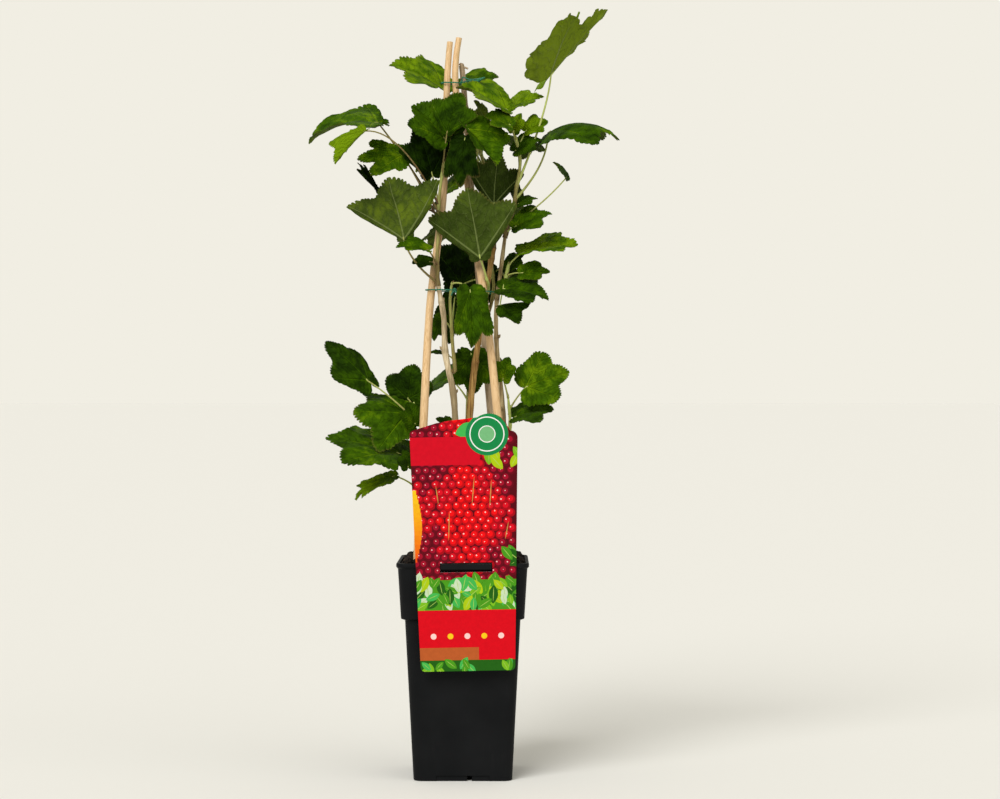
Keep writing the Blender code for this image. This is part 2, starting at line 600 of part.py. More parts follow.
def build_label(parts, tools, card):
    """A tapered card with a raised crest, a slot for the lug and a creased tongue below it."""
    top_half = LABEL_TOP_WIDTH / 2
    foot_half = LABEL_FOOT_WIDTH / 2
    small = LABEL_CORNER
    large = SHOULDER_CORNER
    outline = arc(-foot_half + small, LABEL_FOOT + small, small, 180, 270, 4)
    outline += arc(foot_half - small, LABEL_FOOT + small, small, 270, 360, 4)
    outline += arc(top_half - large, LABEL_RIGHT_TOP - large, large, 0, 90, 4)
    outline += arc(BUMP_X, BUMP_Z, BUMP_RADIUS, 20, 125, 9)
    outline += [(-top_half * 0.25, LABEL_CREST), (-top_half * 0.5, LABEL_CREST - 2 * MM)]
    outline += arc(-top_half + small, LABEL_LEFT_TOP - small, small, 110, 180, 4)
    slot = [(-SLOT_WIDTH / 2, SLOT_FOOT), (-SLOT_WIDTH / 2, SLOT_TOP),
            (SLOT_WIDTH / 2, SLOT_TOP), (SLOT_WIDTH / 2, SLOT_FOOT)]
    curve = bpy.data.curves.new("label", "CURVE")
    curve.dimensions = "2D"
    curve.fill_mode = "BOTH"
    curve.extrude = LABEL_THICKNESS / 2
    for points in (outline, slot):
        spline = curve.splines.new("POLY")
        spline.points.add(len(points) - 1)
        for point, (x, z) in zip(spline.points, points):
            point.co = (x, z, 0, 1)
        spline.use_cyclic_u = True
    label = bpy.data.objects.new("label", curve)
    label.rotation_euler = (math.pi / 2, 0, 0)
    label.location = (LABEL_X, LABEL_FRONT + LABEL_THICKNESS / 2, 0)
    parts.objects.link(label)
    bpy.context.view_layer.update()
    label = as_mesh(label, parts, card)
    for side in (-1, 1):
        run = math.hypot(SLOT_WIDTH / 2, TONGUE_DEPTH)
        crease = box("crease", (-run / 2, -CREASE_DEPTH, -CREASE_WIDTH / 2),
                     (run / 2, CREASE_DEPTH, CREASE_WIDTH / 2), tools)
        slope = math.atan2(TONGUE_DEPTH, SLOT_WIDTH / 2)
        crease.rotation_euler = (0, -side * slope, 0)
        crease.location = (LABEL_X + side * SLOT_WIDTH / 4, LABEL_FRONT,
                           SLOT_FOOT - TONGUE_DROP - TONGUE_DEPTH / 2)
    cut_or_join(label, tools, "DIFFERENCE")
    hang = Matrix.Translation((LABEL_X, 0, SLOT_TOP))
    label.data.transform(hang @ Matrix.Rotation(LABEL_LEAN, 4, "Y") @ hang.inverted())
    return label


class Blade:
    """A leaf's blade: a thin arched surface in a frame that runs from its joint to its tip."""

    def __init__(self, joint, tip, leaf, phase):
        self.joint = joint
        self.leaf = leaf
        self.arch = math.radians(max(leaf.arch, 1))
        self.fold = math.radians(leaf.fold)
        self.phase = phase
        chord = tip - joint
        self.along = chord.normalized()
        self.length = chord.length * self.arch / (2 * math.sin(self.arch / 2))
        sight = (VIEWPOINT - joint).normalized()
        front = (sight - self.along * sight.dot(self.along)).normalized()
        rise = self.along.cross(front)
        if rise.z < 0:
            rise = -rise
        angle = math.radians(leaf.turn)
        self.up = front * math.cos(angle) + rise * math.sin(angle)
        self.side = self.along.cross(self.up)
        self.points, self.faces = self.triangles()
        self.tree = BVHTree.FromPolygons(self.points, self.faces)
        self.middle = sum(self.points, Vector()) / len(self.points)
        self.reach = max((point - self.middle).length for point in self.points)

    def point(self, degrees, reach):
        """The point at an angle from the midrib, reach being a share of the midrib's length."""
        signed = degrees - 360 if degrees > 180 else degrees
        off = abs(signed)
        reach *= 1 + (self.leaf.base - 1) * min(max((off - BASE_FROM) / BASE_SPAN, 0), 1)
        notch = sum(math.exp(-((off - cleft) / CLEFT_WIDTH) ** 2) for cleft in CLEFTS)
        reach *= 1 - self.leaf.cleft * notch
        opened = signed * (1 + (self.leaf.spread - 1) * (180 - off) / OUTER_RIM)
        angle = math.radians(opened)
        across = reach * math.sin(angle) * self.leaf.width
        ahead = reach * math.cos(angle)
        half = self.arch / 2
        forward = (math.sin(half) - math.sin(half - self.arch * ahead)) / self.arch
        height = (math.cos(half - self.arch * ahead) - math.cos(half)) / self.arch
        height += abs(across) * math.sin(self.fold) - EDGE_DROOP * across * across
        height += EDGE_WAVE * reach * reach * math.sin(math.radians(3 * degrees) + self.phase)
        local = self.side * across * math.cos(self.fold) + self.along * forward + self.up * height
        return self.joint + local * self.length

    def triangles(self):
        """Points of the surface, and its triangles as their numbers: joint, rim and ribs."""
        small = self.length < SMALL_LEAF
        half_rim = SMALL_HALF_RIM if small else HALF_RIM
        rim = list(half_rim) + [(360 - degrees, reach) for degrees, reach in half_rim[-2:0:-1]]
        ribs = [360 - degrees for degrees in HALF_RIBS[:0:-1]] + list(HALF_RIBS)
        reaches = dict(rim)
        order = list(reaches)
        points = [self.point(0, 0)]
        points += [self.point(degrees, reach) for degrees, reach in rim]
        points += [self.point(degrees, reaches[degrees] * RIB_REACH) for degrees in ribs]
        count = len(rim)
        hubs = [(1 + count + index, order.index(degrees)) for index, degrees in enumerate(ribs)]
        hubs = [(0, count // 2), *hubs, (0, count // 2)]
        faces = []
        for (hub, place), (next_hub, next_place) in zip(hubs, hubs[1:]):
            span = (next_place - place) % count
            for step in range(span):
                near = hub if step < (span + 1) // 2 else next_hub
                faces.append((near, 1 + (place + step) % count, 1 + (place + step + 1) % count))
            faces.append((hub, 1 + (place + (span + 1) // 2) % count, next_hub))
            if 0 not in (hub, next_hub):
                faces.append((0, hub, next_hub))
        return points, faces


def build_blade(blade, collection):
    """The blade as a solid, thickened to both sides of its surface."""
    shape = bmesh.new()
    corners = [shape.verts.new(point) for point in blade.points]
    for face in blade.faces:
        shape.faces.new([corners[number] for number in face])
    bmesh.ops.recalc_face_normals(shape, faces=shape.faces)
    made = mesh_object("blade", shape, collection)
    thicken = made.modifiers.new("thickness", "SOLIDIFY")
    thicken.thickness = BLADE_THICKNESS
    thicken.offset = 0
    return made


def petiole_path(root, blade, via):
    """From the stem's axis to just inside the blade."""
    if via is None:
        bend = root.lerp(blade.joint, 0.5) + Vector((0, 0, (blade.joint - root).length * 0.12))
    else:
        bend = seen(*via, (root.y + blade.joint.y) / 2 / MM)
    steps = 3 if (blade.joint - root).length > LONG_PETIOLE else 2
    path = []
    for step in range(steps + 1):
        t = step / steps
        path.append(root * (1 - t) ** 2 + bend * 2 * t * (1 - t) + blade.joint * t * t)
    return path + [blade.point(0, 0.05)]


def walk(path, pitch=3 * MM):
    """Points at an even pitch along a path."""
    points = []
    for start, end in zip(path, path[1:]):
        count = max(1, int((end - start).length / pitch))
        points += [start.lerp(end, step / count) for step in range(count)]
    return np.array(points + [path[-1]])


class Surroundings:
    """What a new leaf has to stay clear of: blades already placed, and rods, stems and petioles."""

    def __init__(self):
        self.blades = []
        self.lines = []

    def add_line(self, path, radius, node):
        points = walk(path)
        middle = points.mean(axis=0)
        reach = np.linalg.norm(points - middle, axis=1).max()
        self.lines.append((points, radius, node, Vector(middle), reach))

    def add_leaf(self, blade, stalk, node):
        self.blades.append((blade, node))
        self.add_line(stalk, PETIOLE_RADIUS, node)

    def conflicts(self, blade, stalk, node):
        """How many things are too near, counting blades of the same shoot too."""
        found = 0
        start = Vector(stalk[0])
        free_stalk = [Vector(p) for p in walk(stalk) if (Vector(p) - start).length > 7 * MM]
        for other, owner in self.blades:
            if (other.middle - blade.middle).length < other.reach + blade.reach + LEAF_CLEARANCE:
                found += bool(other.tree.overlap(blade.tree))
                found += touches(other.tree, blade.points, LEAF_CLEARANCE)
                found += touches(blade.tree, other.points, LEAF_CLEARANCE)
            if owner != node:
                found += touches(other.tree, free_stalk, PETIOLE_RADIUS + STEM_CLEARANCE)
        for points, radius, owner, middle, reach in self.lines:
            if owner == node:
                continue
            if (middle - blade.middle).length < reach + blade.reach + radius + STEM_CLEARANCE:
                found += touches(blade.tree, [Vector(p) for p in points], radius + STEM_CLEARANCE)
            if free_stalk:
                apart = np.linalg.norm(np.array(free_stalk)[:, None] - points[None], axis=2).min()
                found += apart < radius + PETIOLE_RADIUS + STEM_CLEARANCE
        return found


def touches(tree, points, distance):
    """Whether any point is within a distance of a surface."""
    return any(tree.find_nearest(point, distance)[0] is not None for point in points)


def settle(choices, around, node):
    """The first leaf of several choices that nothing is in the way of, or else the clearest."""
    best = None
    for blade, stalk in choices:
        found = around.conflicts(blade, stalk, node)
        if best is None or found < best[0]:
            best = (found, blade, stalk)
        if found == 0:
            break
    found, blade, stalk = best
    blade.crowding = found
    around.add_leaf(blade, stalk, node)
    return blade, stalk


def front_choices(stem, leaf, phase):
    """A leaf where it is seen, moved to and fro along the line of sight."""
    root = at_row(stem, leaf.root)
    for attempt in range(2 * DEPTH_TRIES):
        shift = DEPTH_STEP / MM * ((attempt + 1) // 2) * (-1 if attempt % 2 else 1)
        joint = seen(*leaf.joint, leaf.depth + shift)
        tip = seen(*leaf.tip, leaf.depth + shift + leaf.lean)
        blade = Blade(joint, tip, leaf, phase)
        yield blade, petiole_path(root, blade, leaf.via)


def back_choices(stem, index, rule, random):
    """Leaves behind the bush: petioles fan out to the back, to left and right in turn."""
    count, first_row, last_row = rule
    root = at_row(stem, first_row + (last_row - first_row) * index / (count - 1))
    for _ in range(3 * DEPTH_TRIES):
        fan = math.radians(90 + BACK_FAN * (-1) ** index * (0.35 + 0.65 * random.random()))
        outward = Vector((math.cos(fan), math.sin(fan), 0))
        reach = random.uniform(*BACK_PETIOLE)
        joint = root + outward * reach * 0.85 + Vector((0, 0, reach * 0.5))
        droop = math.radians(random.uniform(10, 45))
        ahead = outward * math.cos(droop) - Vector((0, 0, math.sin(droop)))
        tip = joint + ahead * random.uniform(*BACK_BLADE)
        leaf = BACK_LEAF._replace(turn=random.uniform(*BACK_TURN))
        blade = Blade(joint, tip, leaf, random.uniform(0, 6))
        yield blade, petiole_path(root, blade, None)


def build_shoot(node, stem, grown, parts, tools, green):
    """A leafy shoot: stem, petioles and blades joined in one solid."""
    radii = tapered(stem, *SHOOT_RADII)
    shoot = tube(node, stem, radii, parts, green)
    for blade, path in grown:
        build_blade(blade, tools)
        radius = PETIOLE_RADIUS * (0.8 if blade.length < SMALL_LEAF else 1)
        tube("petiole", path, [radius] * len(path), tools, resolution=0)
    bpy.context.view_layer.update()
    return cut_or_join(shoot, tools, "UNION")


def hull(points):
    """The convex outline of points in a plane, anticlockwise."""
    points = sorted(set(points))

    def half(ordered):
        chain = []
        for p in ordered:
            while len(chain) > 1 and ((chain[-1][0] - chain[-2][0]) * (p[1] - chain[-2][1])
                                      <= (chain[-1][1] - chain[-2][1]) * (p[0] - chain[-2][0])):
                chain.pop()
            chain.append(p)
        return chain[:-1]

    return half(points) + half(points[::-1])


def tie_loop(rods, row, slope):
    """A loop of twine drawn tight round the rods at a row, lower to the right by a slope."""
    level = seen(CENTRE_COLUMN, row).z
    around = []
    for path, radii in rods:
        place = at_row(path, row)
        reach = max(radii) + GAP * 1.6 + TWINE_RADIUS
        for step in range(10):
            angle = math.radians(36 * step)
            around.append((round(place.x + reach * math.cos(angle), 5),
                           round(place.y + reach * math.sin(angle), 5)))
    return [Vector((x, y, level - slope * max(0, x))) for x, y in hull(around)]


def build_tie(name, loop, knot_at, tails, parts, tools, green):
    """A loop of twine with a knot in front and its ends."""
    tie = tube(name, loop, [TWINE_RADIUS] * len(loop), parts, green, resolution=0, closed=True)
    front = [point for point in loop if point.y < sum(p.y for p in loop) / len(loop)]
    knot = min(front, key=lambda point: abs(point.x - knot_at))
    shape = bmesh.new()
    bmesh.ops.create_icosphere(shape, subdivisions=1, radius=KNOT_RADIUS)
    shape.transform(Matrix.Translation(knot + Vector((0, -TWINE_RADIUS, 0))))
    mesh_object("knot", shape, tools)
    for tail in tails:
        path = [knot + Vector((0, -TWINE_RADIUS, 0))] + [knot + Vector(offset) * MM for offset in tail]
        tube("tail", path, [TWINE_RADIUS * 1.2] * len(path), tools, resolution=0)
    return cut_or_join(tie, tools, "UNION")


def layout():
    """Where everything grows: rods as path and radii, stems, loops of twine and leaves."""
    rods = {}
    for name, (points, first, last) in {**CANES, **WOOD}.items():
        path = smooth_path([seen(*point) for point in points], 2)
        bumps = CANE_JOINTS if name in CANES else WOOD_JOINTS
        rods[name] = (path, tapered(path, first * MM, last * MM, bumps))
    stems = {name: shoot_path(points, rods) for name, points in SHOOTS.items()}
    at_tie = [(stems[name], SHOOT_RADII[:1]) for name in ("shoot_inner", "shoot_back_high")]
    loops = {
        "tie_middle": tie_loop([*rods.values(), *at_tie], MID_TIE_ROW, MID_TIE_SLOPE),
        "tie_top": tie_loop([rods[name] for name in CANES], TOP_TIE_ROW, 0),
    }
    around = Surroundings()
    for name, (path, radii) in rods.items():
        around.add_line(path, max(radii), name)
    for name, path in stems.items():
        around.add_line(path, SHOOT_RADII[0], name)
    for name, loop in loops.items():
        around.add_line(loop + loop[:1], KNOT_RADIUS * 1.5, name)
    for height in np.arange(LABEL_FOOT, LABEL_CREST, 8 * MM):
        ends = [Vector((LABEL_X + side * LABEL_TOP_WIDTH / 2, LABEL_FRONT, height)) for side in (-1, 1)]
        around.add_line(ends, 2 * MM, "label")

    random = np.random.default_rng(SEED)
    grown = {name: [] for name in SHOOTS}
    for name, leaves in LEAVES.items():
        for leaf in leaves:
            choices = front_choices(stems[name], leaf, random.uniform(0, 6))
            grown[name].append(settle(choices, around, name))
    for name, rule in BACK_LEAVES.items():
        for index in range(rule[0]):
            choices = back_choices(stems[name], index, rule, random)
            grown[name].append(settle(choices, around, name))
    return rods, stems, loops, grown


def main():
    for old in list(bpy.data.objects):
        bpy.data.objects.remove(old)
    scene = bpy.context.scene
    parts = bpy.data.collections.new("potted_redcurrant_bush")
    tools = bpy.data.collections.new("tools")
    scene.collection.children.link(parts)
    scene.collection.children.link(tools)

    plastic = material("black_plastic", (0.018, 0.018, 0.019), 0.55)
    peat = material("peat", (0.045, 0.028, 0.018), 0.95)
    card = material("printed_card", (0.55, 0.06, 0.05), 0.4)
    bamboo = material("bamboo", (0.58, 0.40, 0.21), 0.55)
    bark = material("bark", (0.21, 0.12, 0.06), 0.8)
    leaf_green = material("leaf_green", (0.07, 0.17, 0.02), 0.55)
    twine = material("twine", (0.02, 0.17, 0.10), 0.5)

    rods, stems, loops, grown = layout()
    build_pot(parts, tools, plastic)
    holed = [(path, radii, 2 if name in CANES else 1) for name, (path, radii) in rods.items()]
    low_stem = stems["shoot_low_left"]
    holed.append((low_stem, tapered(low_stem, *SHOOT_RADII), 1))
    build_soil(parts, tools, peat, holed)
    build_label(parts, tools, card)
    for name, (path, radii) in rods.items():
        finish, resolution = (bamboo, 2) if name in CANES else (bark, 1)
        tube(name, path, radii, parts, finish, resolution)
    knot = seen(MID_KNOT_COLUMN, MID_TIE_ROW)
    build_tie("tie_middle", loops["tie_middle"], knot.x, MID_TAILS, parts, tools, twine)
    knot = seen(TOP_KNOT_COLUMN, TOP_TIE_ROW)
    build_tie("tie_top", loops["tie_top"], knot.x, TOP_TAILS, parts, tools, twine)
    for name, leafy in grown.items():
        build_shoot(name, stems[name], leafy, parts, tools, leaf_green)
    bpy.data.collections.remove(tools)


main()
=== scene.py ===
"""Looks of a young redcurrant bush in its pot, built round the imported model.

The layout of stems and leaves repeats the model's own rules, so that every fine piece lies
where its plain solid is. Metres, +Z up, and -Y is the front.
"""
import json
import math
from typing import NamedTuple

import bmesh
import bpy
import numpy as np
from mathutils import Matrix, Vector, noise
from mathutils.bvhtree import BVHTree
from mathutils.geometry import delaunay_2d_cdt

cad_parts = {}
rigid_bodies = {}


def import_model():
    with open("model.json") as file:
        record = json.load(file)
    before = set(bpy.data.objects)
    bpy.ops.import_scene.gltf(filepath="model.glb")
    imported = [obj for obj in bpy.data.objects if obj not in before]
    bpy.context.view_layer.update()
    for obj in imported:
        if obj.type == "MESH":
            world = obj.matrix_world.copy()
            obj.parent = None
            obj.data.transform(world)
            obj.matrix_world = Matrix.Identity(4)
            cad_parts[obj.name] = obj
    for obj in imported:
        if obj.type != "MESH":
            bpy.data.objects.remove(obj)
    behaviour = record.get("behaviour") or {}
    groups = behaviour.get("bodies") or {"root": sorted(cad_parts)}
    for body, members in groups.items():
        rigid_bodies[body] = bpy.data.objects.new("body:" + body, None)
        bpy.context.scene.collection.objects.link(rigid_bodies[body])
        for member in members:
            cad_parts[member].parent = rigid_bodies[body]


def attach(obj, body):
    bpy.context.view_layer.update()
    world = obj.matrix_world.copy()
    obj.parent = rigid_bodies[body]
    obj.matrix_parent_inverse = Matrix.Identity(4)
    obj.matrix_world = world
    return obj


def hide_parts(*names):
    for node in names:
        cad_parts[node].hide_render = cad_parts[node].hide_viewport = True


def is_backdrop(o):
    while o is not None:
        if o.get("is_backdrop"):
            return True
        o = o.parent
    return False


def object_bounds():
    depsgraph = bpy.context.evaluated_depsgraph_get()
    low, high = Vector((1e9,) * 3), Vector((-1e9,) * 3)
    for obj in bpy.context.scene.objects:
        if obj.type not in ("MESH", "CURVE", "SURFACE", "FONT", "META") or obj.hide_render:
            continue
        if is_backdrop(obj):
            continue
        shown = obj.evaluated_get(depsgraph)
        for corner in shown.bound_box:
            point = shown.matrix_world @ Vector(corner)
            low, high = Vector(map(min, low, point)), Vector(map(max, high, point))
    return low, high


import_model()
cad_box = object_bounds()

MM = 0.001
GAP = 0.3 * MM
UP = Vector((0, 0, 1))
SIDEWAYS = Vector((1, 0, 0))

VIEWPOINT = Vector((0.0334, -2.0, 0.342))
FOCAL = 2183.4
CENTRE_COLUMN = 500.0
CENTRE_ROW = 399.5

# Pot
POT_HEIGHT = 196 * MM
POT_BASE_HALF = 44.35 * MM
POT_BODY_TOP_HALF = 51.75 * MM
BAND_FOOT = 146 * MM
BAND_FOOT_HALF = 55.25 * MM
BAND_TOP_HALF = 57.9 * MM
LIP_HALF = 59.4 * MM
LIP_HEIGHT = 5 * MM
LIP_TAPER = 1.6 * MM
WALL = 2 * MM
POT_CORNER = 9 * MM
CORNER_TAPER = 0.2
BAND_STEP = 1.5 * MM
FLOOR_UNDER = 5 * MM
FLOOR_TOP = 7.5 * MM
FOOT_RIM = 2.3 * MM
BOSS_RADIUS = 14 * MM
BOSS_DROP = 1 * MM
DRAIN_RADIUS = 4 * MM
DRAIN_OFFSET = 24 * MM
RECESS_WIDTH = 48 * MM
RECESS_DEPTH = 1 * MM
SLIT_WIDTH = 4.5 * MM
SLIT_HEIGHT = 4.6 * MM
SLIT_OFFSET = 6 * MM
CUT_BEYOND = 5 * MM

# Label and the lug that it hangs on
LABEL_X = 3.2 * MM
LABEL_FRONT = -62.0 * MM
LABEL_THICKNESS = 0.8 * MM
LABEL_FOOT = 101 * MM
LABEL_LEFT_TOP = 315.5 * MM
LABEL_RIGHT_TOP = 313.7 * MM
LABEL_CREST = 323.5 * MM
LABEL_TOP_WIDTH = 96 * MM
LABEL_FOOT_WIDTH = 84 * MM
LABEL_CORNER = 4 * MM
SHOULDER_CORNER = 6.4 * MM
LABEL_LEAN = math.radians(-1.1)
BUMP_X = 22.7 * MM
BUMP_Z = 311.4 * MM
BUMP_RADIUS = 17.8 * MM
SLOT_WIDTH = 46.6 * MM
SLOT_FOOT = 188.7 * MM
SLOT_TOP = 197.1 * MM
TONGUE_DROP = 1 * MM
TONGUE_DEPTH = 23 * MM
CREASE_WIDTH = 0.7 * MM
CREASE_DEPTH = 0.25 * MM
LUG_WIDTH = 45.4 * MM
LUG_FRONT = -63.4 * MM
LUG_ROOT = 1.5 * MM
LUG_RISE = 0.2 * MM
LABEL_STEP = 8 * MM
LABEL_ROOM = 2 * MM

# Soil
SOIL_TOP = 194.5 * MM
SOIL_SWELL = 2.2 * MM
SOIL_GAP = 0.4 * MM
LEDGE_STEP = 0.1 * MM
LUMP_FREQUENCY = 70
CRUMB_COUNT = 38
CRUMB_SIZES = (2.2 * MM, 4.6 * MM)
CRUMB_LIFT = 0.55
CRUMB_STRETCH = (0.8, 1.2)
CRUMB_FLATNESS = 0.8
CRUMB_TURNS = (0, 3)
CRUMB_CLEARANCE = 10.5 * MM
RIM_CRUMB_SIZES = (3.6 * MM, 4.8 * MM)
RIM_CRUMBS = (
    (-0.049, -0.046), (-0.0495, -0.036), (-0.049, -0.025), (-0.0495, -0.012), (-0.049, 0.002),
    (-0.0495, 0.015), (-0.049, 0.029), (-0.0495, 0.040), (-0.046, 0.048), (-0.038, 0.049),
    (-0.041, -0.048), (0.0485, -0.047), (0.0495, -0.035), (0.049, -0.021), (0.0495, -0.006),
    (0.049, 0.009), (0.0495, 0.023), (0.049, 0.036), (0.0485, 0.046), (0.041, 0.049),
    (0.042, -0.048),
)
SEED = 7

# Leaf blades and petioles
PETIOLE_RADIUS = 0.95 * MM
LONG_PETIOLE = 32 * MM
LEAF_CLEARANCE = 2.0 * MM
STEM_CLEARANCE = 1.4 * MM
DEPTH_STEP = 5.0 * MM
DEPTH_TRIES = 13
PHASES = (0, 6)
WALK_PITCH = 3 * MM
FREE_FROM = 7 * MM
PETIOLE_BEND = 0.12
PETIOLE_END = 0.05

# Half of a blade's rim: degrees from the midrib, and reach as a share of the midrib
HALF_RIM = (
    (0, 1.00), (9, 0.95), (18, 0.87), (26, 0.78), (34, 0.86), (42, 0.92), (50, 0.94), (59, 0.86),
    (68, 0.72), (78, 0.60), (92, 0.54), (114, 0.42), (145, 0.18), (180, 0.05),
)
SMALL_HALF_RIM = (
    (0, 1.00), (14, 0.91), (26, 0.75), (38, 0.89), (50, 0.94), (64, 0.77), (92, 0.54), (125, 0.33),
    (180, 0.05),
)
HALF_RIBS = (0, 50, 92)
SMALL_LEAF = 58 * MM
RIB_REACH = 0.52
EDGE_DROOP = 0.22
EDGE_WAVE = 0.045
OUTER_RIM = 129
BASE_FROM = 52
BASE_SPAN = 14
CLEFTS = (26, 74)
CLEFT_WIDTH = 10


class Leaf(NamedTuple):
    """A leaf as seen: blade joint and tip (column, row), depths in mm, angles in degrees.

    turn is 0 with the upper side to the front, 90 with it up, and 180 with the underside
    to the front. spread opens or closes the fan of lobes, base sizes the two beside the joint,
    and cleft deepens the clefts between them all. root is the row at which the petiole leaves
    its stem, and via a place that it bends toward. The tone runs from 0, a near-black green
    that paints the shade deep inside the bush, to 1, a bright yellow-green that paints light
    falling on and through the blade, over the leaf's own green.
    """
    joint: tuple
    tip: tuple
    depth: float
    root: float
    lean: float = 0.0
    turn: float = 50.0
    arch: float = 25.0
    fold: float = 12.0
    width: float = 1.0
    spread: float = 1.0
    via: tuple = None
    base: float = 1.0
    cleft: float = 0.0
    tone: float = 0.5


# Swellings at the joints of canes and wood: places along the rod, size and extent as shares
CANE_JOINTS = (0.3, 0.55, 0.8)
WOOD_JOINTS = (0.4, 0.62, 0.86)
JOINT_SWELL = 0.14
JOINT_EXTENT = 0.02

# Canes and stems: column, row and depth of points on the axis, foot first, and radii in mm
CANES = {
    "cane_left": (((416.2, 645, -34), (417.0, 575, -34), (423.5, 425, -30), (430.5, 300, -19),
                   (443.0, 200, -11), (447.0, 84, -5), (450.0, 42, -3)), 4.2, 2.7),
    "cane_right": (((509.5, 645, -34), (510.5, 575, -34), (497.0, 410, -29), (484.5, 300, -20),
                    (468.5, 190, -10), (455.5, 84, -4), (459.0, 38, -1)), 4.2, 2.7),
    "cane_back": (((505.0, 650, 35), (503.0, 560, 34), (489.0, 400, 27), (475.0, 233, 16),
                   (463.5, 84, 6), (461.0, 66, 5)), 3.2, 2.4),
}
WOOD = {
    "wood_left": (((459, 594, -8), (458, 560, -8), (457, 470, -10), (454, 400, -12),
                   (449, 372, -13), (445, 350, -15), (444, 320, -18), (441, 300, -21),
                   (438, 285, -23)), 3.3, 2.2),
    "wood_middle": (((465, 594, 5), (465, 560, 5), (466, 470, 5), (471, 400, 4), (477, 350, 1),
                     (490.5, 265, -3), (494, 248, -4)), 3.7, 2.3),
    "wood_right": (((508, 594, -4), (508, 560, -4), (506, 470, -5), (502, 400, -6), (497, 350, -6),
                    (496, 320, -6), (497, 300, -7), (505, 237, -9)), 2.4, 1.8),
}
# A shoot's first word is the stem that carries it, and soil means that it has a hole of its own
SHOOTS = {
    "shoot_left": ("wood_left", (438, 284, -23), (437, 262, -23), (438, 240, -21), (439, 200, -19),
                   (444, 160, -23)),
    "shoot_middle": ("wood_middle", (494, 247, -4), (495, 225, -2), (490, 190, 1), (480, 150, 3),
                     (472, 122, 4)),
    "shoot_right": ("wood_right", (505, 236, -9), (514, 205, -11), (516, 190, -12), (520, 160, -13),
                    (513, 128, -14)),
    "shoot_inner": ("wood_left", (453, 371, -13), (455, 369, -13), (453, 350, -14), (451, 320, -14),
                    (450, 300, -14), (452, 282, -18)),
    "shoot_low_left": ("soil", (423, 594, -16), (421, 560, -17), (416, 510, -18), (413, 470, -19),
                       (412, 430, -19), (414, 402, -19)),
    "shoot_low_right": ("wood_right", (508, 430, -6), (509.5, 428, -7), (510, 418, -9),
                        (508, 396, -11)),
    "shoot_side_right": ("wood_right", (502, 284, -8), (504, 281, -8), (507, 272, -8),
                         (509, 262, -7)),
    "spur_middle": ("wood_middle", (487.6, 292, -6), (487.6, 291, -9), (488.6, 285, -16),
                    (486.5, 279, -23)),
    "shoot_back_high": ("wood_middle", (488, 312, 1), (489.5, 310, 3), (493, 295, 12),
                        (493, 275, 24), (486, 230, 33), (477, 150, 37)),
    "shoot_back_low": ("wood_middle", (468, 440, 9), (468, 439, 12), (467, 420, 18), (468, 390, 26),
                       (470, 360, 32)),
}
SHOOT_RADII = (1.9 * MM, 1.2 * MM)
SHOOT_FOOT = 2.5 * MM
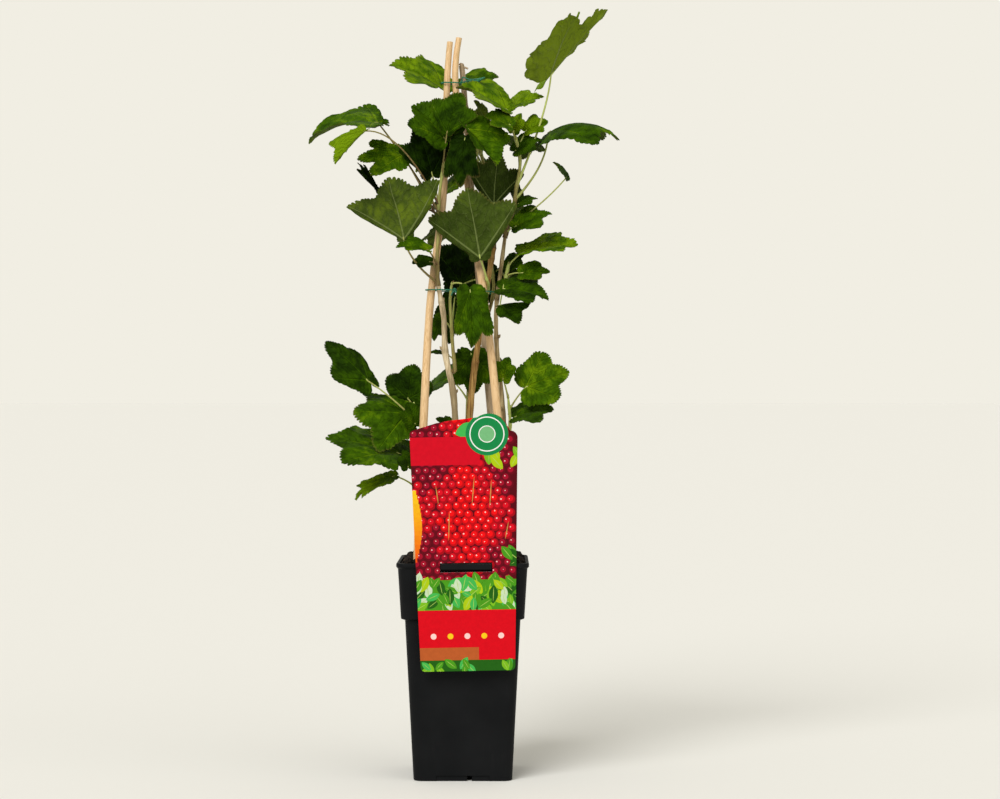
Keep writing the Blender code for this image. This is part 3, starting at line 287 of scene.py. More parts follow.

# Each leaf's tone sets its own green together with painted shade deep in the bush and painted light on
# lit and backlit blades
LEAVES = {
    "shoot_left": (
        Leaf((378, 123), (308, 141), 4, 212, turn=78, arch=45, fold=14, width=0.85, spread=1.65,
             base=0.42, cleft=0.1, via=(402, 152), tone=0.6),
        Leaf((365, 131), (334, 163), -44, 205, lean=-4, turn=64, arch=12, fold=26, width=0.85,
             spread=0.85, base=0.6, via=(400, 128), tone=1.0),
        Leaf((403, 155), (357, 158), -22, 220, turn=48, fold=-6, width=0.88, spread=0.84,
             base=0.9, cleft=0.15, via=(418, 180), tone=0.6),
        Leaf((404, 240), (386, 178), -28, 283, lean=-6, turn=150, arch=20, fold=15, width=1.55,
             spread=0.74, base=0.2, via=(411, 264), tone=0.52),
        Leaf((379, 193), (357, 163), -8, 215, turn=25, width=0.36, spread=0.5, base=0.4,
             tone=0.05),
        Leaf((428, 250), (396, 246), -46, 266, turn=68, fold=15, width=0.8, base=0.7, tone=0.62),
        Leaf((430, 262), (412, 263), -4, 272, turn=50, width=0.75, tone=0.3),
        Leaf((445, 139), (413, 104), -18, 161, lean=5, turn=40, arch=18, fold=22, tone=0.45),
        Leaf((432, 174), (417, 126), -4, 206, turn=20, width=0.8, base=0.6, tone=0.06),
        Leaf((447, 133), (462, 93), -24, 176, turn=28, fold=12, width=0.9, base=0.35, tone=0.42),
    ),
    "shoot_middle": (
        Leaf((486, 122), (473, 101), -18, 150, turn=110, tone=0.6),
        Leaf((468, 129), (494, 168), -42, 155, lean=-8, turn=55, fold=35, spread=1.05,
             via=(486, 138), tone=0.56),
        Leaf((465, 138), (462, 188), -22, 172, turn=30, width=0.78, spread=0.7, base=0.8,
             tone=0.17),
        Leaf((494, 205), (500, 152), -22, 226, turn=150, width=0.98, spread=0.85, base=0.3,
             tone=0.03),
    ),
    "shoot_right": (
        Leaf((507, 110), (456, 88), -22, 130, turn=72, fold=20, width=1.0, spread=1.1, base=0.6,
             tone=0.8),
        Leaf((508, 110), (544, 97), -18, 131, turn=75, fold=15, spread=0.9, tone=0.82),
        Leaf((510, 125), (484, 116), -30, 140, turn=60, width=0.9, tone=0.7),
        Leaf((514, 131), (521, 113), -16, 142, turn=30, width=0.7, tone=0.7),
        Leaf((526, 131), (548, 121), -10, 150, turn=50, width=0.9, base=0.8, tone=0.8),
        Leaf((515, 151), (541, 139), -20, 160, turn=50, width=0.8, base=0.8, tone=0.45),
        Leaf((551, 75), (611, 12), -15, 186, turn=111, arch=8, fold=29, width=0.62, spread=0.92,
             base=1.4, cleft=0.12, via=(548, 112), tone=1.0),
        Leaf((548, 133), (619, 143), -16, 200, lean=-8, turn=82, arch=85, fold=-10, width=0.85,
             spread=0.85, base=0.9, via=(548, 165), tone=0.52),
        Leaf((566, 178), (553, 162), -14, 228, turn=80, via=(543, 205), tone=0.45),
        Leaf((515, 227), (552, 214), -20, 233, turn=62, base=0.7, tone=0.55),
        Leaf((518, 204), (538, 199), -8, 214, turn=70, tone=0.5),
    ),
    "spur_middle": (
        Leaf((480, 258), (467, 188), -34, 280, lean=-5, turn=168, arch=15, fold=10, width=1.0,
             spread=0.88, base=0.3, tone=0.3),
    ),
    "shoot_inner": (
        Leaf((470, 290), (471, 348), -38, 284, lean=-6, turn=22, fold=20, width=0.68, spread=0.7,
             base=0.9, via=(461, 280), tone=0.54),
        Leaf((446, 355), (429, 353), -10, 360, turn=80, tone=0.4),
        Leaf((455, 297), (449, 344), 6, 330, turn=30, width=0.5, tone=0.15),
        Leaf((442, 318), (434, 341), -6, 330, turn=40, width=0.7, tone=0.4),
    ),
    "shoot_side_right": (
        Leaf((522, 253), (578, 246), -10, 266, turn=76, fold=15, spread=0.85, base=0.8,
             tone=0.85),
        Leaf((507, 268), (525, 254), 6, 272, turn=60, tone=0.4),
        Leaf((522, 273), (550, 272), -12, 276, turn=38, width=0.62, tone=0.6),
        Leaf((511, 276), (533, 283), 4, 281, turn=60),
        Leaf((503, 289), (549, 298), -4, 281, turn=68, tone=0.4),
        Leaf((500, 305), (531, 304), -22, 282, turn=65, fold=-25, base=0.8, tone=0.4),
        Leaf((497, 270), (490, 303), 2, 279, turn=30, tone=0.1),
    ),
    "shoot_low_left": (
        Leaf((368, 381), (326, 341), -12, 418, turn=28, fold=-25, width=0.46, spread=1.2,
             base=0.85, via=(390, 395), tone=0.3),
        Leaf((408, 399), (414, 364), 10, 410, turn=20, width=0.92, spread=1.15, tone=0.3),
        Leaf((407, 414), (353, 415), -6, 428, lean=-8, turn=46, fold=-8, width=1.05, spread=1.0,
             base=0.9, tone=0.5),
        Leaf((400, 454), (325, 443), -22, 470, turn=66, fold=8, width=0.95, spread=0.85, base=1.1,
             tone=0.56),
        Leaf((394, 476), (354, 498), -24, 486, turn=60, arch=25, fold=5, width=0.55, spread=0.6,
             tone=0.85),
        Leaf((408, 467), (403, 450), -34, 474, turn=40, tone=0.4),
        Leaf((415, 424), (408, 402), -30, 432, turn=35, tone=0.45),
        Leaf((452, 430), (436, 418), 2, 470, turn=60, tone=0.4),
    ),
    "shoot_back_low": (
        Leaf((471, 353), (473, 395), 12, 364, turn=20, width=0.85, spread=0.85, tone=0.5),
    ),
    "shoot_back_high": (
        Leaf((444, 90), (389, 66), 18, 152, turn=73, fold=18, spread=1.1, base=0.8,
             via=(455, 120), tone=0.82),
        Leaf((462, 85), (499, 78), 20, 153, turn=72, fold=15, base=0.8, tone=0.6),
        Leaf((461, 285), (459, 229), 36, 278, turn=35, width=0.85, base=0.9, tone=0.05),
    ),
    "shoot_low_right": (
        Leaf((526, 387), (569, 371), -14, 410, lean=-6, turn=22, arch=15, width=0.85, spread=0.95,
             base=1.1, tone=0.65),
        Leaf((515, 417), (554, 411), -12, 424, turn=66, arch=30, base=0.9, tone=0.5),
        Leaf((503, 379), (509, 357), -12, 398, turn=30, width=0.8, tone=0.7),
    ),
}

# Leaves at the back, that the front view hides, follow a rule: their count, first row and last row
BACK_LEAVES = {
    "shoot_back_high": (6, 236, 146),
    "shoot_back_low": (2, 400, 366),
}
BACK_PETIOLE = (26 * MM, 40 * MM)
BACK_BLADE = (42 * MM, 58 * MM)
BACK_FAN = 42.0
BACK_TURN = (75, 125)
BACK_DROOP = (10, 45)
BACK_LEAF = Leaf(None, None, 0, 0, arch=35, spread=1.15)

# Ties, and their ends as offsets in mm from the knot
TWINE_RADIUS = 0.7 * MM
MID_TIE_ROW = 291
MID_TIE_SLOPE = 0.06
TOP_TIE_ROW = 84
KNOT_RADIUS = 1.7 * MM
KNOT_ROOM = KNOT_RADIUS * 1.5
LOOP_GAP = GAP * 1.6
LOOP_SIDES = 10
MID_KNOT_COLUMN = 455
TOP_KNOT_COLUMN = 462
MID_TAILS = (((2, -1.5, -3), (4, -1, -6)), ((-2, -1.5, -2.5), (-3, -1, -5)))
TOP_TAILS = (
    ((1, -1, 5), (7, -2, 3), (14, -3, 3.2), (21, -4, 4.6)),
    ((4, -1.5, 1.5), (9, -2.5, 1.6), (15, -3.5, 2), (20, -4.5, 4)),
    ((5, -1, -0.2), (10, -2, 0.2), (15, -3, 1), (18, -3.6, 2.6)),
)

# Fine blades: their rim, spans between main veins with four points a tooth, and rings of points
FINE_RIM = (
    (0, 1.000), (5, 0.980), (11, 0.935), (18, 0.868), (23, 0.805), (26, 0.785), (30, 0.810),
    (36, 0.870), (43, 0.920), (50, 0.940), (56, 0.900), (62, 0.820), (68, 0.725), (75, 0.625),
    (82, 0.575), (92, 0.545), (102, 0.500), (114, 0.420), (128, 0.315), (150, 0.155), (180, 0.050),
)
SPANS = ((0, 50, 14), (50, 92, 9), (92, 180, 5))
VEIN_RAYS = (0, 56, 92)
SINUS_AT = {0: 0.5, 50: 0.65, 92: 2.0}
TOOTH_DEPTH = 0.034
TOOTH_PROFILE = ((0.0, 1.0), (0.18, 0.22), (0.45, 0.0), (0.75, 0.30))
TOOTH_SPREAD = (0.6, 1.4)
TOOTH_RISE = 0.010
TOOTHLESS_FROM = 140.0
TOOTH_FADE = 20
WIDE_TOOTH = 1.5
FULL_RINGS = (1.0, 0.955, 0.90, 0.83, 0.75, 0.66)
HALF_RINGS = (0.57, 0.48, 0.39)
QUARTER_RINGS = (0.30, 0.21, 0.12)
LEAF_SKIN = 0.19 * MM
VEIN_RISE = 0.35 * MM
VEIN_FLANK = 0.3
UPPER_RELIEF = 0.4
# Waves of a blade's rim: size, power of the share of its reach, scale, and step between leaves
RIM_WAVES = ((0.055, 2, 3.2, 9), (0.035, 4, 9, 5))
TROUGH = 0.10
TROUGH_LIMIT = 40
TROUGH_END = 200
VEIN_ANGLES = (0, 50, 310, 92, 268, 360)
# Veins that are painted: angle between lobes, limit of the last one, and side veins
VEIN_STEP = math.radians(50)
BASAL_LIMIT = math.radians(74)
LATERALS = 7.5
LATERAL_SLOPE = 0.8

# Canes and old stems
CANE_PITCH = 2.5 * MM
CANE_SIDES = 24
CANE_RIDGE = 0.09
CANE_SWELL = 0.045
CANE_GROOVE = 0.03
CANE_UNEVEN = 0.03
CANE_UNEVEN_SCALE = 40
GROOVE_BELOW = 2.2
RIDGE_EXTENT = 0.0035
CANE_BORE = 0.42
BORE_DEPTH = 7 * MM
WOOD_PITCH = 2 * MM
WOOD_SIDES = 16
WOOD_SWELL = JOINT_SWELL * 1.5
WOOD_UNEVEN = 0.16
WOOD_UNEVEN_SCALE = 90
FOOT_FLARE = 0.12
FOOT_EXTENT = 0.06
OLD_BELOW = 0.367
AGE_BLEND = 8 * MM
OLD_SHADE = -0.4
WOOD_BUD = 4.5 * MM
WOOD_BUD_LIFT = 1.3
WOOD_BUD_ROOT = 0.7
BUD_SIDES = 8
BUD_STEPS = (0.0, 0.12, 0.3, 0.5, 0.7, 0.88, 1.0)
BUD_RADII = (0.16, 0.26, 0.33, 0.31, 0.22, 0.11, 0.02)

# Young stems and leaf stalks
STEM_PITCH = 2.0 * MM
STEM_ROOT = 1.5 * MM
NODE_EXTENT = 3.2 * MM
NODE_SWELL = 0.28
COLLAR = 0.35
COLLAR_EXTENT = 0.02
STEM_END = 0.5
STEM_AGE = 0.45
OLD_STEM_AGE = 0.85
STEM_GREENING = 0.75
STEM_SIDES = 12
STALK_SIDES = 8
STALK_GREENING = 0.5
SMALL_LEAF_STALK = 0.8
YOUNG_STEMS = ("shoot_low_left", "shoot_side_right", "shoot_low_right", "spur_middle")
STEM_BUD = 3.4 * MM
STEM_BUD_LIFT = 1.4
STEM_BUD_ROOT = 0.6
STEM_BUD_REDNESS = 0.8
PETIOLE_STEPS = 14
PETIOLE_RADII = (1.05 * MM, 0.72 * MM)
PETIOLE_REDNESS = (0.0, 0.35)
RED_STALKED = "shoot_left"
RED_STALKS = (0.5, 1.0)
SHEATH = 0.6
SHEATH_EXTENT = 0.09
BACK_TONES = (0.5, 0.35, 0.65, 0.45)

# Twine
TWINE_STEP = 0.7 * MM
TWIST_PITCH = 4.5 * MM
KNOT_POINTS = 60
KNOT_REACH = (0.55, 0.2)
KNOT_DEPTH = 0.42
KNOT_TWINE = TWINE_RADIUS * 0.9
TAIL_TWINE = TWINE_RADIUS * 1.1
PLY_SIDES = 6
PLY_RADIUS = 0.56
PLY_OFFSET = 0.5

# Pot and soil
FILLET_STEPS = 4
FOOT_ROUND = 1.2 * MM
EDGE_ROUND = 0.5 * MM
LIP_ROUND = 1.3 * MM
CORNER_STEPS = 14
SOIL_SIDES = 330
SOIL_FINE_RINGS = 46
SOIL_ROUGHNESS = ((1.1 * MM, 190), (0.9 * MM, 420), (0.5 * MM, 1100))
LUMP_NOISE = 0.32
LUMP_SCALES = (1.3, 3.1)
RING_POWER = 0.9
SOIL_TONE = 0.3
SMALL_CRUMB_COUNT = 480
SMALL_CRUMBS = (0.9 * MM, 2.6 * MM)
SMALL_STRETCH = (0.7, 1.2)
SMALL_LIFT = 0.3
DRAIN_SIDES = 32
BOSS_SIDES = 48
POT_SHARP = 32.0

# Degrees between faces from which an edge stays sharp: by default, on round rods, and on crumbs
SHARP = 50.0
ROD_SHARP = 80.0
SOIL_SHARP = 180.0

# Label, in mm on the card
PRINT_TOLERANCE = 1e-4
FIELD_FOOT = 180.0
DOT_PITCH = 7.4
DOT_ROW = 6.4
DOT_RADIUS = 3.9
DOT_STRAY = 0.9
PATCH_WIDTH = 12.0
PATCH_HEIGHT = 17.0
PATCH_STRAY = 0.7
PATCH_LIMIT = 0.45
FACE_LEFT = 0.45
FACE_UP = 0.55
FACE_SHARE = 0.66
SHINE_RADII = (0.3, 0.75)
SHINE_SHIFT = (0.2, 1.8)
OVALS_PER_AREA = 3.2
OVAL_TURNS = (20, 160)
OVAL_SIZES = (0.7, 1.2)
OVAL_WIDTH = 0.5
MIDRIB_SHARES = (0.8, 0.035)
SUNSET_TOP = 262.0
SUNSET_STEP = 4.0
SUNSET_STEPS = 16
SUNSET_WIDTH = 8.0
# Beds of leaves: left, right, foot, top and a leaf's length; and an oval's place, size and turn
RIGHT_LEAVES = (24.0, 48.0, 190.0, 212.0, 17)
TOP_LEAVES = (20.0, 48.0, 284.0, 300.0, 15)
MIDDLE_LEAF = 14
FOOT_LEAF = 12
MINT_OVAL = (3.0, 315.0, 22.0, 13.0, 20)
LEAVES_TOP = 182.0
LOWER_TOP = 155.2
TITLE_FOOT = 284.0
TITLE_TOP = 309.0
TITLE_RIGHT = 14.0
EARTH_TOP = 122.0
EARTH_RIGHT = 10.0
STRIP_TOP = 110.8
ROW_DOTS = 5
STRIGS = 5
STRIGS_FROM = 0.7
STRIGS_OVER = 0.8
STRIG_STRAY = (0.2, 0.8)
STRIG_LENGTHS = (16, 30)
STRIG_WIDTH = 0.9
STRIG_TURNS = (78, 102)
ROW_LEFT = -30.0
ROW_PITCH = 15.0
ROW_Z = 132.0
ROW_RADIUS = 2.6
DISC = (20.8, 311.0)

# Colours
PAPER = (0.80, 0.79, 0.76)
INK_RED = (0.56, 0.003, 0.014)
INK_BRIGHT = (0.60, 0.002, 0.009)
INK_CRIMSON = (0.085, 0.002, 0.006)
FIELD_INKS = (
    ((0.46, 0.002, 0.005), (0.78, 0.004, 0.006)), ((0.34, 0.002, 0.007), (0.62, 0.004, 0.014)),
    ((0.12, 0.002, 0.008), (0.32, 0.004, 0.020)),
)
INK_SHINE = (0.85, 0.55, 0.52)
SUNSET_YELLOW = (0.80, 0.50, 0.01)
SUNSET_RED = (0.75, 0.07, 0.004)
INK_STRIG = (0.50, 0.25, 0.06)
INK_MIST = (0.50, 0.62, 0.42)
INK_LEAF = (0.06, 0.27, 0.010)
INK_LEAF_DARK = (0.014, 0.10, 0.006)
INK_LEAF_PALE = (0.17, 0.42, 0.012)
INK_LIME = (0.36, 0.50, 0.006)
INK_MINT = (0.05, 0.40, 0.07)
INK_MIDRIB = (0.36, 0.52, 0.10)
MIXED_LEAVES = (INK_LEAF_PALE, INK_LEAF_DARK, INK_MINT, INK_LEAF, INK_LIME, INK_MIST, INK_LEAF)
INK_EARTH = (0.42, 0.09, 0.02)
DISC_GREEN = (0.008, 0.21, 0.055)
DISC_PALE = (0.16, 0.42, 0.18)
DISC_RINGS = (
    (DISC_GREEN, 19.0), (PAPER, 15.6), (DISC_GREEN, 14.6), (PAPER, 7.6), (DISC_PALE, 6.8),
)
# Leaf greens, darkest to brightest: the darkest stops are painted shade inside the bush and the
# brightest are painted light on and through the blades, around the leaves' own greens
UPPER_DEEP_SHADE = (0.0030, 0.0080, 0.0008)
UPPER_DARK = (0.0145, 0.0380, 0.0012)
UPPER_MID = (0.042, 0.100, 0.0012)
UPPER_BRIGHT = (0.150, 0.250, 0.003)
UNDER_DARK = (0.017, 0.030, 0.003)
UNDER_MID = (0.048, 0.076, 0.009)
UNDER_BRIGHT = (0.140, 0.200, 0.010)
UNDER_VEIN = (0.16, 0.20, 0.06)
LEAF_RIM = (0.20, 0.16, 0.04)
STALK_GREEN = (0.43, 0.50, 0.13)
STALK_OLIVE = (0.25, 0.21, 0.06)
STALK_RED = (0.10, 0.045, 0.022)
PALE_CANE = ((0.52, 0.31, 0.125), (0.71, 0.48, 0.25))
# A darker copy of the bamboo for the back cane: painted shade
SHADED_CANE = ((0.26, 0.18, 0.10), (0.46, 0.34, 0.21))
GREY_BARK = ((0.28, 0.21, 0.11), (0.58, 0.46, 0.28), (0.77, 0.64, 0.43))
ORANGE_BARK = ((0.17, 0.08, 0.02), (0.38, 0.22, 0.06), (0.62, 0.40, 0.15))
TAN_BARK = ((0.15, 0.10, 0.045), (0.38, 0.28, 0.13), (0.62, 0.50, 0.28))
CANE_STAIN = (0.40, 0.31, 0.19)
CANE_JOINT = (0.24, 0.15, 0.07)
POT_BLACK = (0.0055, 0.0060, 0.0066)
POT_GREY = (0.0085, 0.0090, 0.0096)
POT_SCUFF = (0.045, 0.044, 0.043)
SOIL_DARK = (0.006, 0.0045, 0.004)
SOIL_MID = (0.013, 0.009, 0.007)
SOIL_PALE = (0.045, 0.029, 0.018)
TWINE_DARK = (0.008, 0.10, 0.05)
TWINE_GREEN = (0.022, 0.22, 0.115)
FLOOR_COLOUR = (0.812, 0.80, 0.757)
AIR_COLOUR = (0.88, 0.855, 0.768)

# Camera and lights
SENSOR = 36.0
FRAME_WIDTH = 1000
FLOOR_SIZE = 400.0
KEY_ENERGY = 2.3
KEY_ANGLE = math.radians(35)
KEY_TURN = (math.radians(50), 0, math.radians(-28))
FILL_ENERGY = 0.5
FILL_ANGLE = math.radians(60)
FILL_TURN = (math.radians(65), 0, math.radians(50))
SKY_STRENGTH = 0.62


def seen(column, row, depth_mm=0.0):
    """The point at a column and row of the picture plane, at a depth behind the pot's middle."""
    depth = depth_mm * MM
    scale = (depth - VIEWPOINT.y) / FOCAL
    return Vector((VIEWPOINT.x + (column - CENTRE_COLUMN) * scale, depth,
                   VIEWPOINT.z - (row - CENTRE_ROW) * scale))


def smooth_path(points, per_span):
    """Points on a Catmull-Rom curve through the given points."""
    ends = [points[0] * 2 - points[1], *points, points[-1] * 2 - points[-2]]
    path = []
    for before, start, end, after in zip(ends, ends[1:], ends[2:], ends[3:]):
        for step in range(per_span):
            t = step / per_span
            path.append(0.5 * (2 * start + (end - before) * t
                               + (2 * before - 5 * start + 4 * end - after) * t * t
                               + (3 * start - 3 * end + after - before) * t ** 3))
    path.append(points[-1])
    return path


def at_row(path, row):
    """The point of a rising path at a row, judged at the path's own depth."""
    for low, high in zip(path, path[1:]):
        rows = [CENTRE_ROW + (VIEWPOINT.z - p.z) * FOCAL / (p.y - VIEWPOINT.y) for p in (low, high)]
        if rows[1] <= row:
            share = min(max((rows[0] - row) / (rows[0] - rows[1]), 0.0), 1.0)
            return low.lerp(high, share)
    return path[-1].copy()


def at_height(path, z):
    """The point of a rising path at a height."""
    for low, high in zip(path, path[1:]):
        if high.z >= z:
            return low.lerp(high, min(max((z - low.z) / (high.z - low.z), 0.0), 1.0))
    return path[-1].copy()


def mesh_object(name, shape, collection, finish=None):
    """An object from a bmesh, which is freed."""
    mesh = bpy.data.meshes.new(name)
    shape.to_mesh(mesh)
    shape.free()
    made = bpy.data.objects.new(name, mesh)
    if finish:
        mesh.materials.append(finish)
    collection.objects.link(made)
    return made


def cut_or_join(body, tools, operation):
    """One Boolean with every object of a collection, applied, after which they are removed."""
    modifier = body.modifiers.new(operation.lower(), "BOOLEAN")
    modifier.operation = operation
    modifier.solver = "EXACT"
    modifier.operand_type = "COLLECTION"
    modifier.collection = tools
    bpy.context.view_layer.update()
    evaluated = body.evaluated_get(bpy.context.evaluated_depsgraph_get())
    body.data = bpy.data.meshes.new_from_object(evaluated)
    body.modifiers.clear()
    for tool in list(tools.objects):
        bpy.data.objects.remove(tool)


def box(name, low, high, collection):
    shape = bmesh.new()
    bmesh.ops.create_cube(shape, size=1)
    middle = (Vector(low) + Vector(high)) / 2
    size = Vector(high) - Vector(low)
    shape.transform(Matrix.Translation(middle) @ Matrix.Diagonal((*size, 1)))
    mesh_object(name, shape, collection)


def cylinder(name, radius, low, high, x, y, collection, segments):
    shape = bmesh.new()
    bmesh.ops.create_cone(shape, cap_ends=True, segments=segments, radius1=radius, radius2=radius,
                          depth=high - low)
    shape.transform(Matrix.Translation((x, y, (low + high) / 2)))
    mesh_object(name, shape, collection)


def rounded_square(half, corner, z):
    """Points round a square with round corners."""
    points = []
    for quarter in range(4):
        for step in range(CORNER_STEPS + 1):
            angle = math.radians(90 * (quarter + step / CORNER_STEPS))
            turn = math.radians(90 * quarter + 45)
            middle = Vector((math.cos(turn), math.sin(turn))) * math.sqrt(2) * (half - corner)
            points.append(Vector((middle.x + corner * math.cos(angle),
                                  middle.y + corner * math.sin(angle), z)))
    return points


def loft(rings):
    """A closed solid through rings of equal count, capped at both ends."""
    shape = bmesh.new()
    made = [[shape.verts.new(point) for point in ring] for ring in rings]
    count = len(made[0])
    for low, high in zip(made, made[1:]):
        for index in range(count):
            after = (index + 1) % count
            shape.faces.new((low[index], low[after], high[after], high[index]))
    shape.faces.new(list(reversed(made[0])))
    shape.faces.new(made[-1])
    bmesh.ops.recalc_face_normals(shape, faces=shape.faces)
    return shape


def inner_half(z):
    """Half the pot's width inside, at a height."""
    if z > BAND_FOOT + WALL:
        share = (z - BAND_FOOT) / (POT_HEIGHT - LIP_HEIGHT - BAND_FOOT)
        return BAND_FOOT_HALF - WALL + (BAND_TOP_HALF - BAND_FOOT_HALF) * share
    return POT_BASE_HALF - WALL + (POT_BODY_TOP_HALF - POT_BASE_HALF) * z / BAND_FOOT


def corner_of(half):
    """The pot's corner radius where it is this wide from middle to side."""
    return POT_CORNER - (POT_BODY_TOP_HALF - half) * CORNER_TAPER


def arc(x, z, radius, start, end, steps):
    """Points on an arc, its angles in degrees."""
    angles = [math.radians(start + (end - start) * step / steps) for step in range(steps + 1)]
    return [(x + radius * math.cos(angle), z + radius * math.sin(angle)) for angle in angles]


def shoot_path(points, rods):
    """A shoot's path, with its foot brought to the surface of the stem that carries it."""
    carrier, *marks = points
    places = [seen(*mark) for mark in marks]
    if carrier != "soil":
        axis, radii = rods[carrier]
        if places[0].z > axis[-1].z:
            onward = (places[1] - axis[-1]).normalized()
            tilt = (axis[-1] - axis[-2]).angle(onward)
            places[0] = axis[-1] + onward * (GAP + SHOOT_RADII[0] * math.sin(tilt))
        else:
            near = min(range(len(axis) - 1), key=lambda index: abs(axis[index].z - places[0].z))
            centre = at_height(axis, places[0].z)
            outward = (places[0] - centre).normalized()
            places[0] = centre + outward * (max(radii[near:near + 2]) + GAP * 2)
            places[1] = places[0] + outward * SHOOT_FOOT
            return places[:1] + smooth_path(places[1:], 1)
    return smooth_path(places, 1)


def between(first, last, share):
    return first + (last - first) * share


def tapered(path, first, last, bumps):
    """Radii that shrink evenly along a path, with a swelling at each listed share of it."""
    radii = []
    for index in range(len(path)):
        share = index / (len(path) - 1)
        swell = sum(JOINT_SWELL * math.exp(-((share - bump) / JOINT_EXTENT) ** 2) for bump in bumps)
        radii.append(between(first, last, share) * (1 + swell))
    return radii


class Blade:
    """A leaf's blade: a thin arched surface in a frame that runs from its joint to its tip."""

    def __init__(self, joint, tip, leaf, phase):
        self.joint = joint
        self.leaf = leaf
        self.arch = math.radians(max(leaf.arch, 1))
        self.fold = math.radians(leaf.fold)
        self.phase = phase
        chord = tip - joint
        self.along = chord.normalized()
        self.length = chord.length * self.arch / (2 * math.sin(self.arch / 2))
        sight = (VIEWPOINT - joint).normalized()
        front = (sight - self.along * sight.dot(self.along)).normalized()
        rise = self.along.cross(front)
        if rise.z < 0:
            rise = -rise
        angle = math.radians(leaf.turn)
        self.up = front * math.cos(angle) + rise * math.sin(angle)
        self.side = self.along.cross(self.up)
        self.points, faces = self.triangles()
        self.tree = BVHTree.FromPolygons(self.points, faces)
        self.middle = sum(self.points, Vector()) / len(self.points)
        self.reach = max((point - self.middle).length for point in self.points)

    def point(self, degrees, reach):
        """The point at an angle from the midrib, reach being a share of the midrib's length."""
        signed = degrees - 360 if degrees > 180 else degrees
        off = abs(signed)
        reach *= 1 + (self.leaf.base - 1) * min(max((off - BASE_FROM) / BASE_SPAN, 0), 1)
        notch = sum(math.exp(-((off - cleft) / CLEFT_WIDTH) ** 2) for cleft in CLEFTS)
        reach *= 1 - self.leaf.cleft * notch
        opened = signed * (1 + (self.leaf.spread - 1) * (180 - off) / OUTER_RIM)
        angle = math.radians(opened)
        across = reach * math.sin(angle) * self.leaf.width
        ahead = reach * math.cos(angle)
        half = self.arch / 2
        forward = (math.sin(half) - math.sin(half - self.arch * ahead)) / self.arch
        height = (math.cos(half - self.arch * ahead) - math.cos(half)) / self.arch
        height += abs(across) * math.sin(self.fold) - EDGE_DROOP * across * across
        height += EDGE_WAVE * reach * reach * math.sin(math.radians(3 * degrees) + self.phase)
        local = self.side * across * math.cos(self.fold) + self.along * forward + self.up * height
        return self.joint + local * self.length

    def triangles(self):
        """Points of the surface, and its triangles as their numbers: joint, rim and ribs."""
        small = self.length < SMALL_LEAF
        half_rim = SMALL_HALF_RIM if small else HALF_RIM
        rim = list(half_rim) + [(360 - degrees, reach) for degrees, reach in half_rim[-2:0:-1]]
        ribs = [360 - degrees for degrees in HALF_RIBS[:0:-1]] + list(HALF_RIBS)
        reaches = dict(rim)
        order = list(reaches)
        points = [self.point(0, 0)]
        points += [self.point(degrees, reach) for degrees, reach in rim]
        points += [self.point(degrees, reaches[degrees] * RIB_REACH) for degrees in ribs]
        count = len(rim)
        hubs = [(1 + count + index, order.index(degrees)) for index, degrees in enumerate(ribs)]
        hubs = [(0, count // 2), *hubs, (0, count // 2)]
        faces = []
        for (hub, place), (next_hub, next_place) in zip(hubs, hubs[1:]):
            span = (next_place - place) % count
            for step in range(span):
                near = hub if step < (span + 1) // 2 else next_hub
                faces.append((near, 1 + (place + step) % count, 1 + (place + step + 1) % count))
            faces.append((hub, 1 + (place + (span + 1) // 2) % count, next_hub))
            if 0 not in (hub, next_hub):
                faces.append((0, hub, next_hub))
        return points, faces


def petiole_path(root, blade, via, steps=None):
    """From the stem's axis to just inside the blade."""
    if via is None:
        rise = (blade.joint - root).length * PETIOLE_BEND
        bend = root.lerp(blade.joint, 0.5) + UP * rise
    else:
        bend = seen(*via, (root.y + blade.joint.y) / 2 / MM)
    steps = steps or (3 if (blade.joint - root).length > LONG_PETIOLE else 2)
    path = []
    for step in range(steps + 1):
        t = step / steps
        path.append(root * (1 - t) ** 2 + bend * 2 * t * (1 - t) + blade.joint * t * t)
    return path + [blade.point(0, PETIOLE_END)]


def walk(path):
    """Points at an even pitch along a path."""
    points = []
    for start, end in zip(path, path[1:]):
        count = max(1, int((end - start).length / WALK_PITCH))
        points += [start.lerp(end, step / count) for step in range(count)]
    return np.array(points + [path[-1]])


class Surroundings:
    """What a new leaf has to stay clear of: blades already placed, and rods, stems and petioles."""

    def __init__(self):
        self.blades = []
        self.lines = []

    def add_line(self, path, radius, node):
        points = walk(path)
        middle = points.mean(axis=0)
        reach = np.linalg.norm(points - middle, axis=1).max()
        self.lines.append((points, radius, node, Vector(middle), reach))

    def add_leaf(self, blade, stalk, node):
        self.blades.append((blade, node))
        self.add_line(stalk, PETIOLE_RADIUS, node)

    def conflicts(self, blade, stalk, node):
        """How many things are too near, counting blades of the same shoot too."""
        found = 0
        start = Vector(stalk[0])
        free_stalk = [Vector(p) for p in walk(stalk) if (Vector(p) - start).length > FREE_FROM]
        for other, owner in self.blades:
            if (other.middle - blade.middle).length < other.reach + blade.reach + LEAF_CLEARANCE:
                found += bool(other.tree.overlap(blade.tree))
                found += touches(other.tree, blade.points, LEAF_CLEARANCE)
                found += touches(blade.tree, other.points, LEAF_CLEARANCE)
            if owner != node:
                found += touches(other.tree, free_stalk, PETIOLE_RADIUS + STEM_CLEARANCE)
        for points, radius, owner, middle, reach in self.lines:
            if owner == node:
                continue
            if (middle - blade.middle).length < reach + blade.reach + radius + STEM_CLEARANCE:
                found += touches(blade.tree, [Vector(p) for p in points], radius + STEM_CLEARANCE)
            if free_stalk:
                apart = np.linalg.norm(np.array(free_stalk)[:, None] - points[None], axis=2).min()
                found += apart < radius + PETIOLE_RADIUS + STEM_CLEARANCE
        return found


def touches(tree, points, distance):
    """Whether any point is within a distance of a surface."""
    return any(tree.find_nearest(point, distance)[0] is not None for point in points)


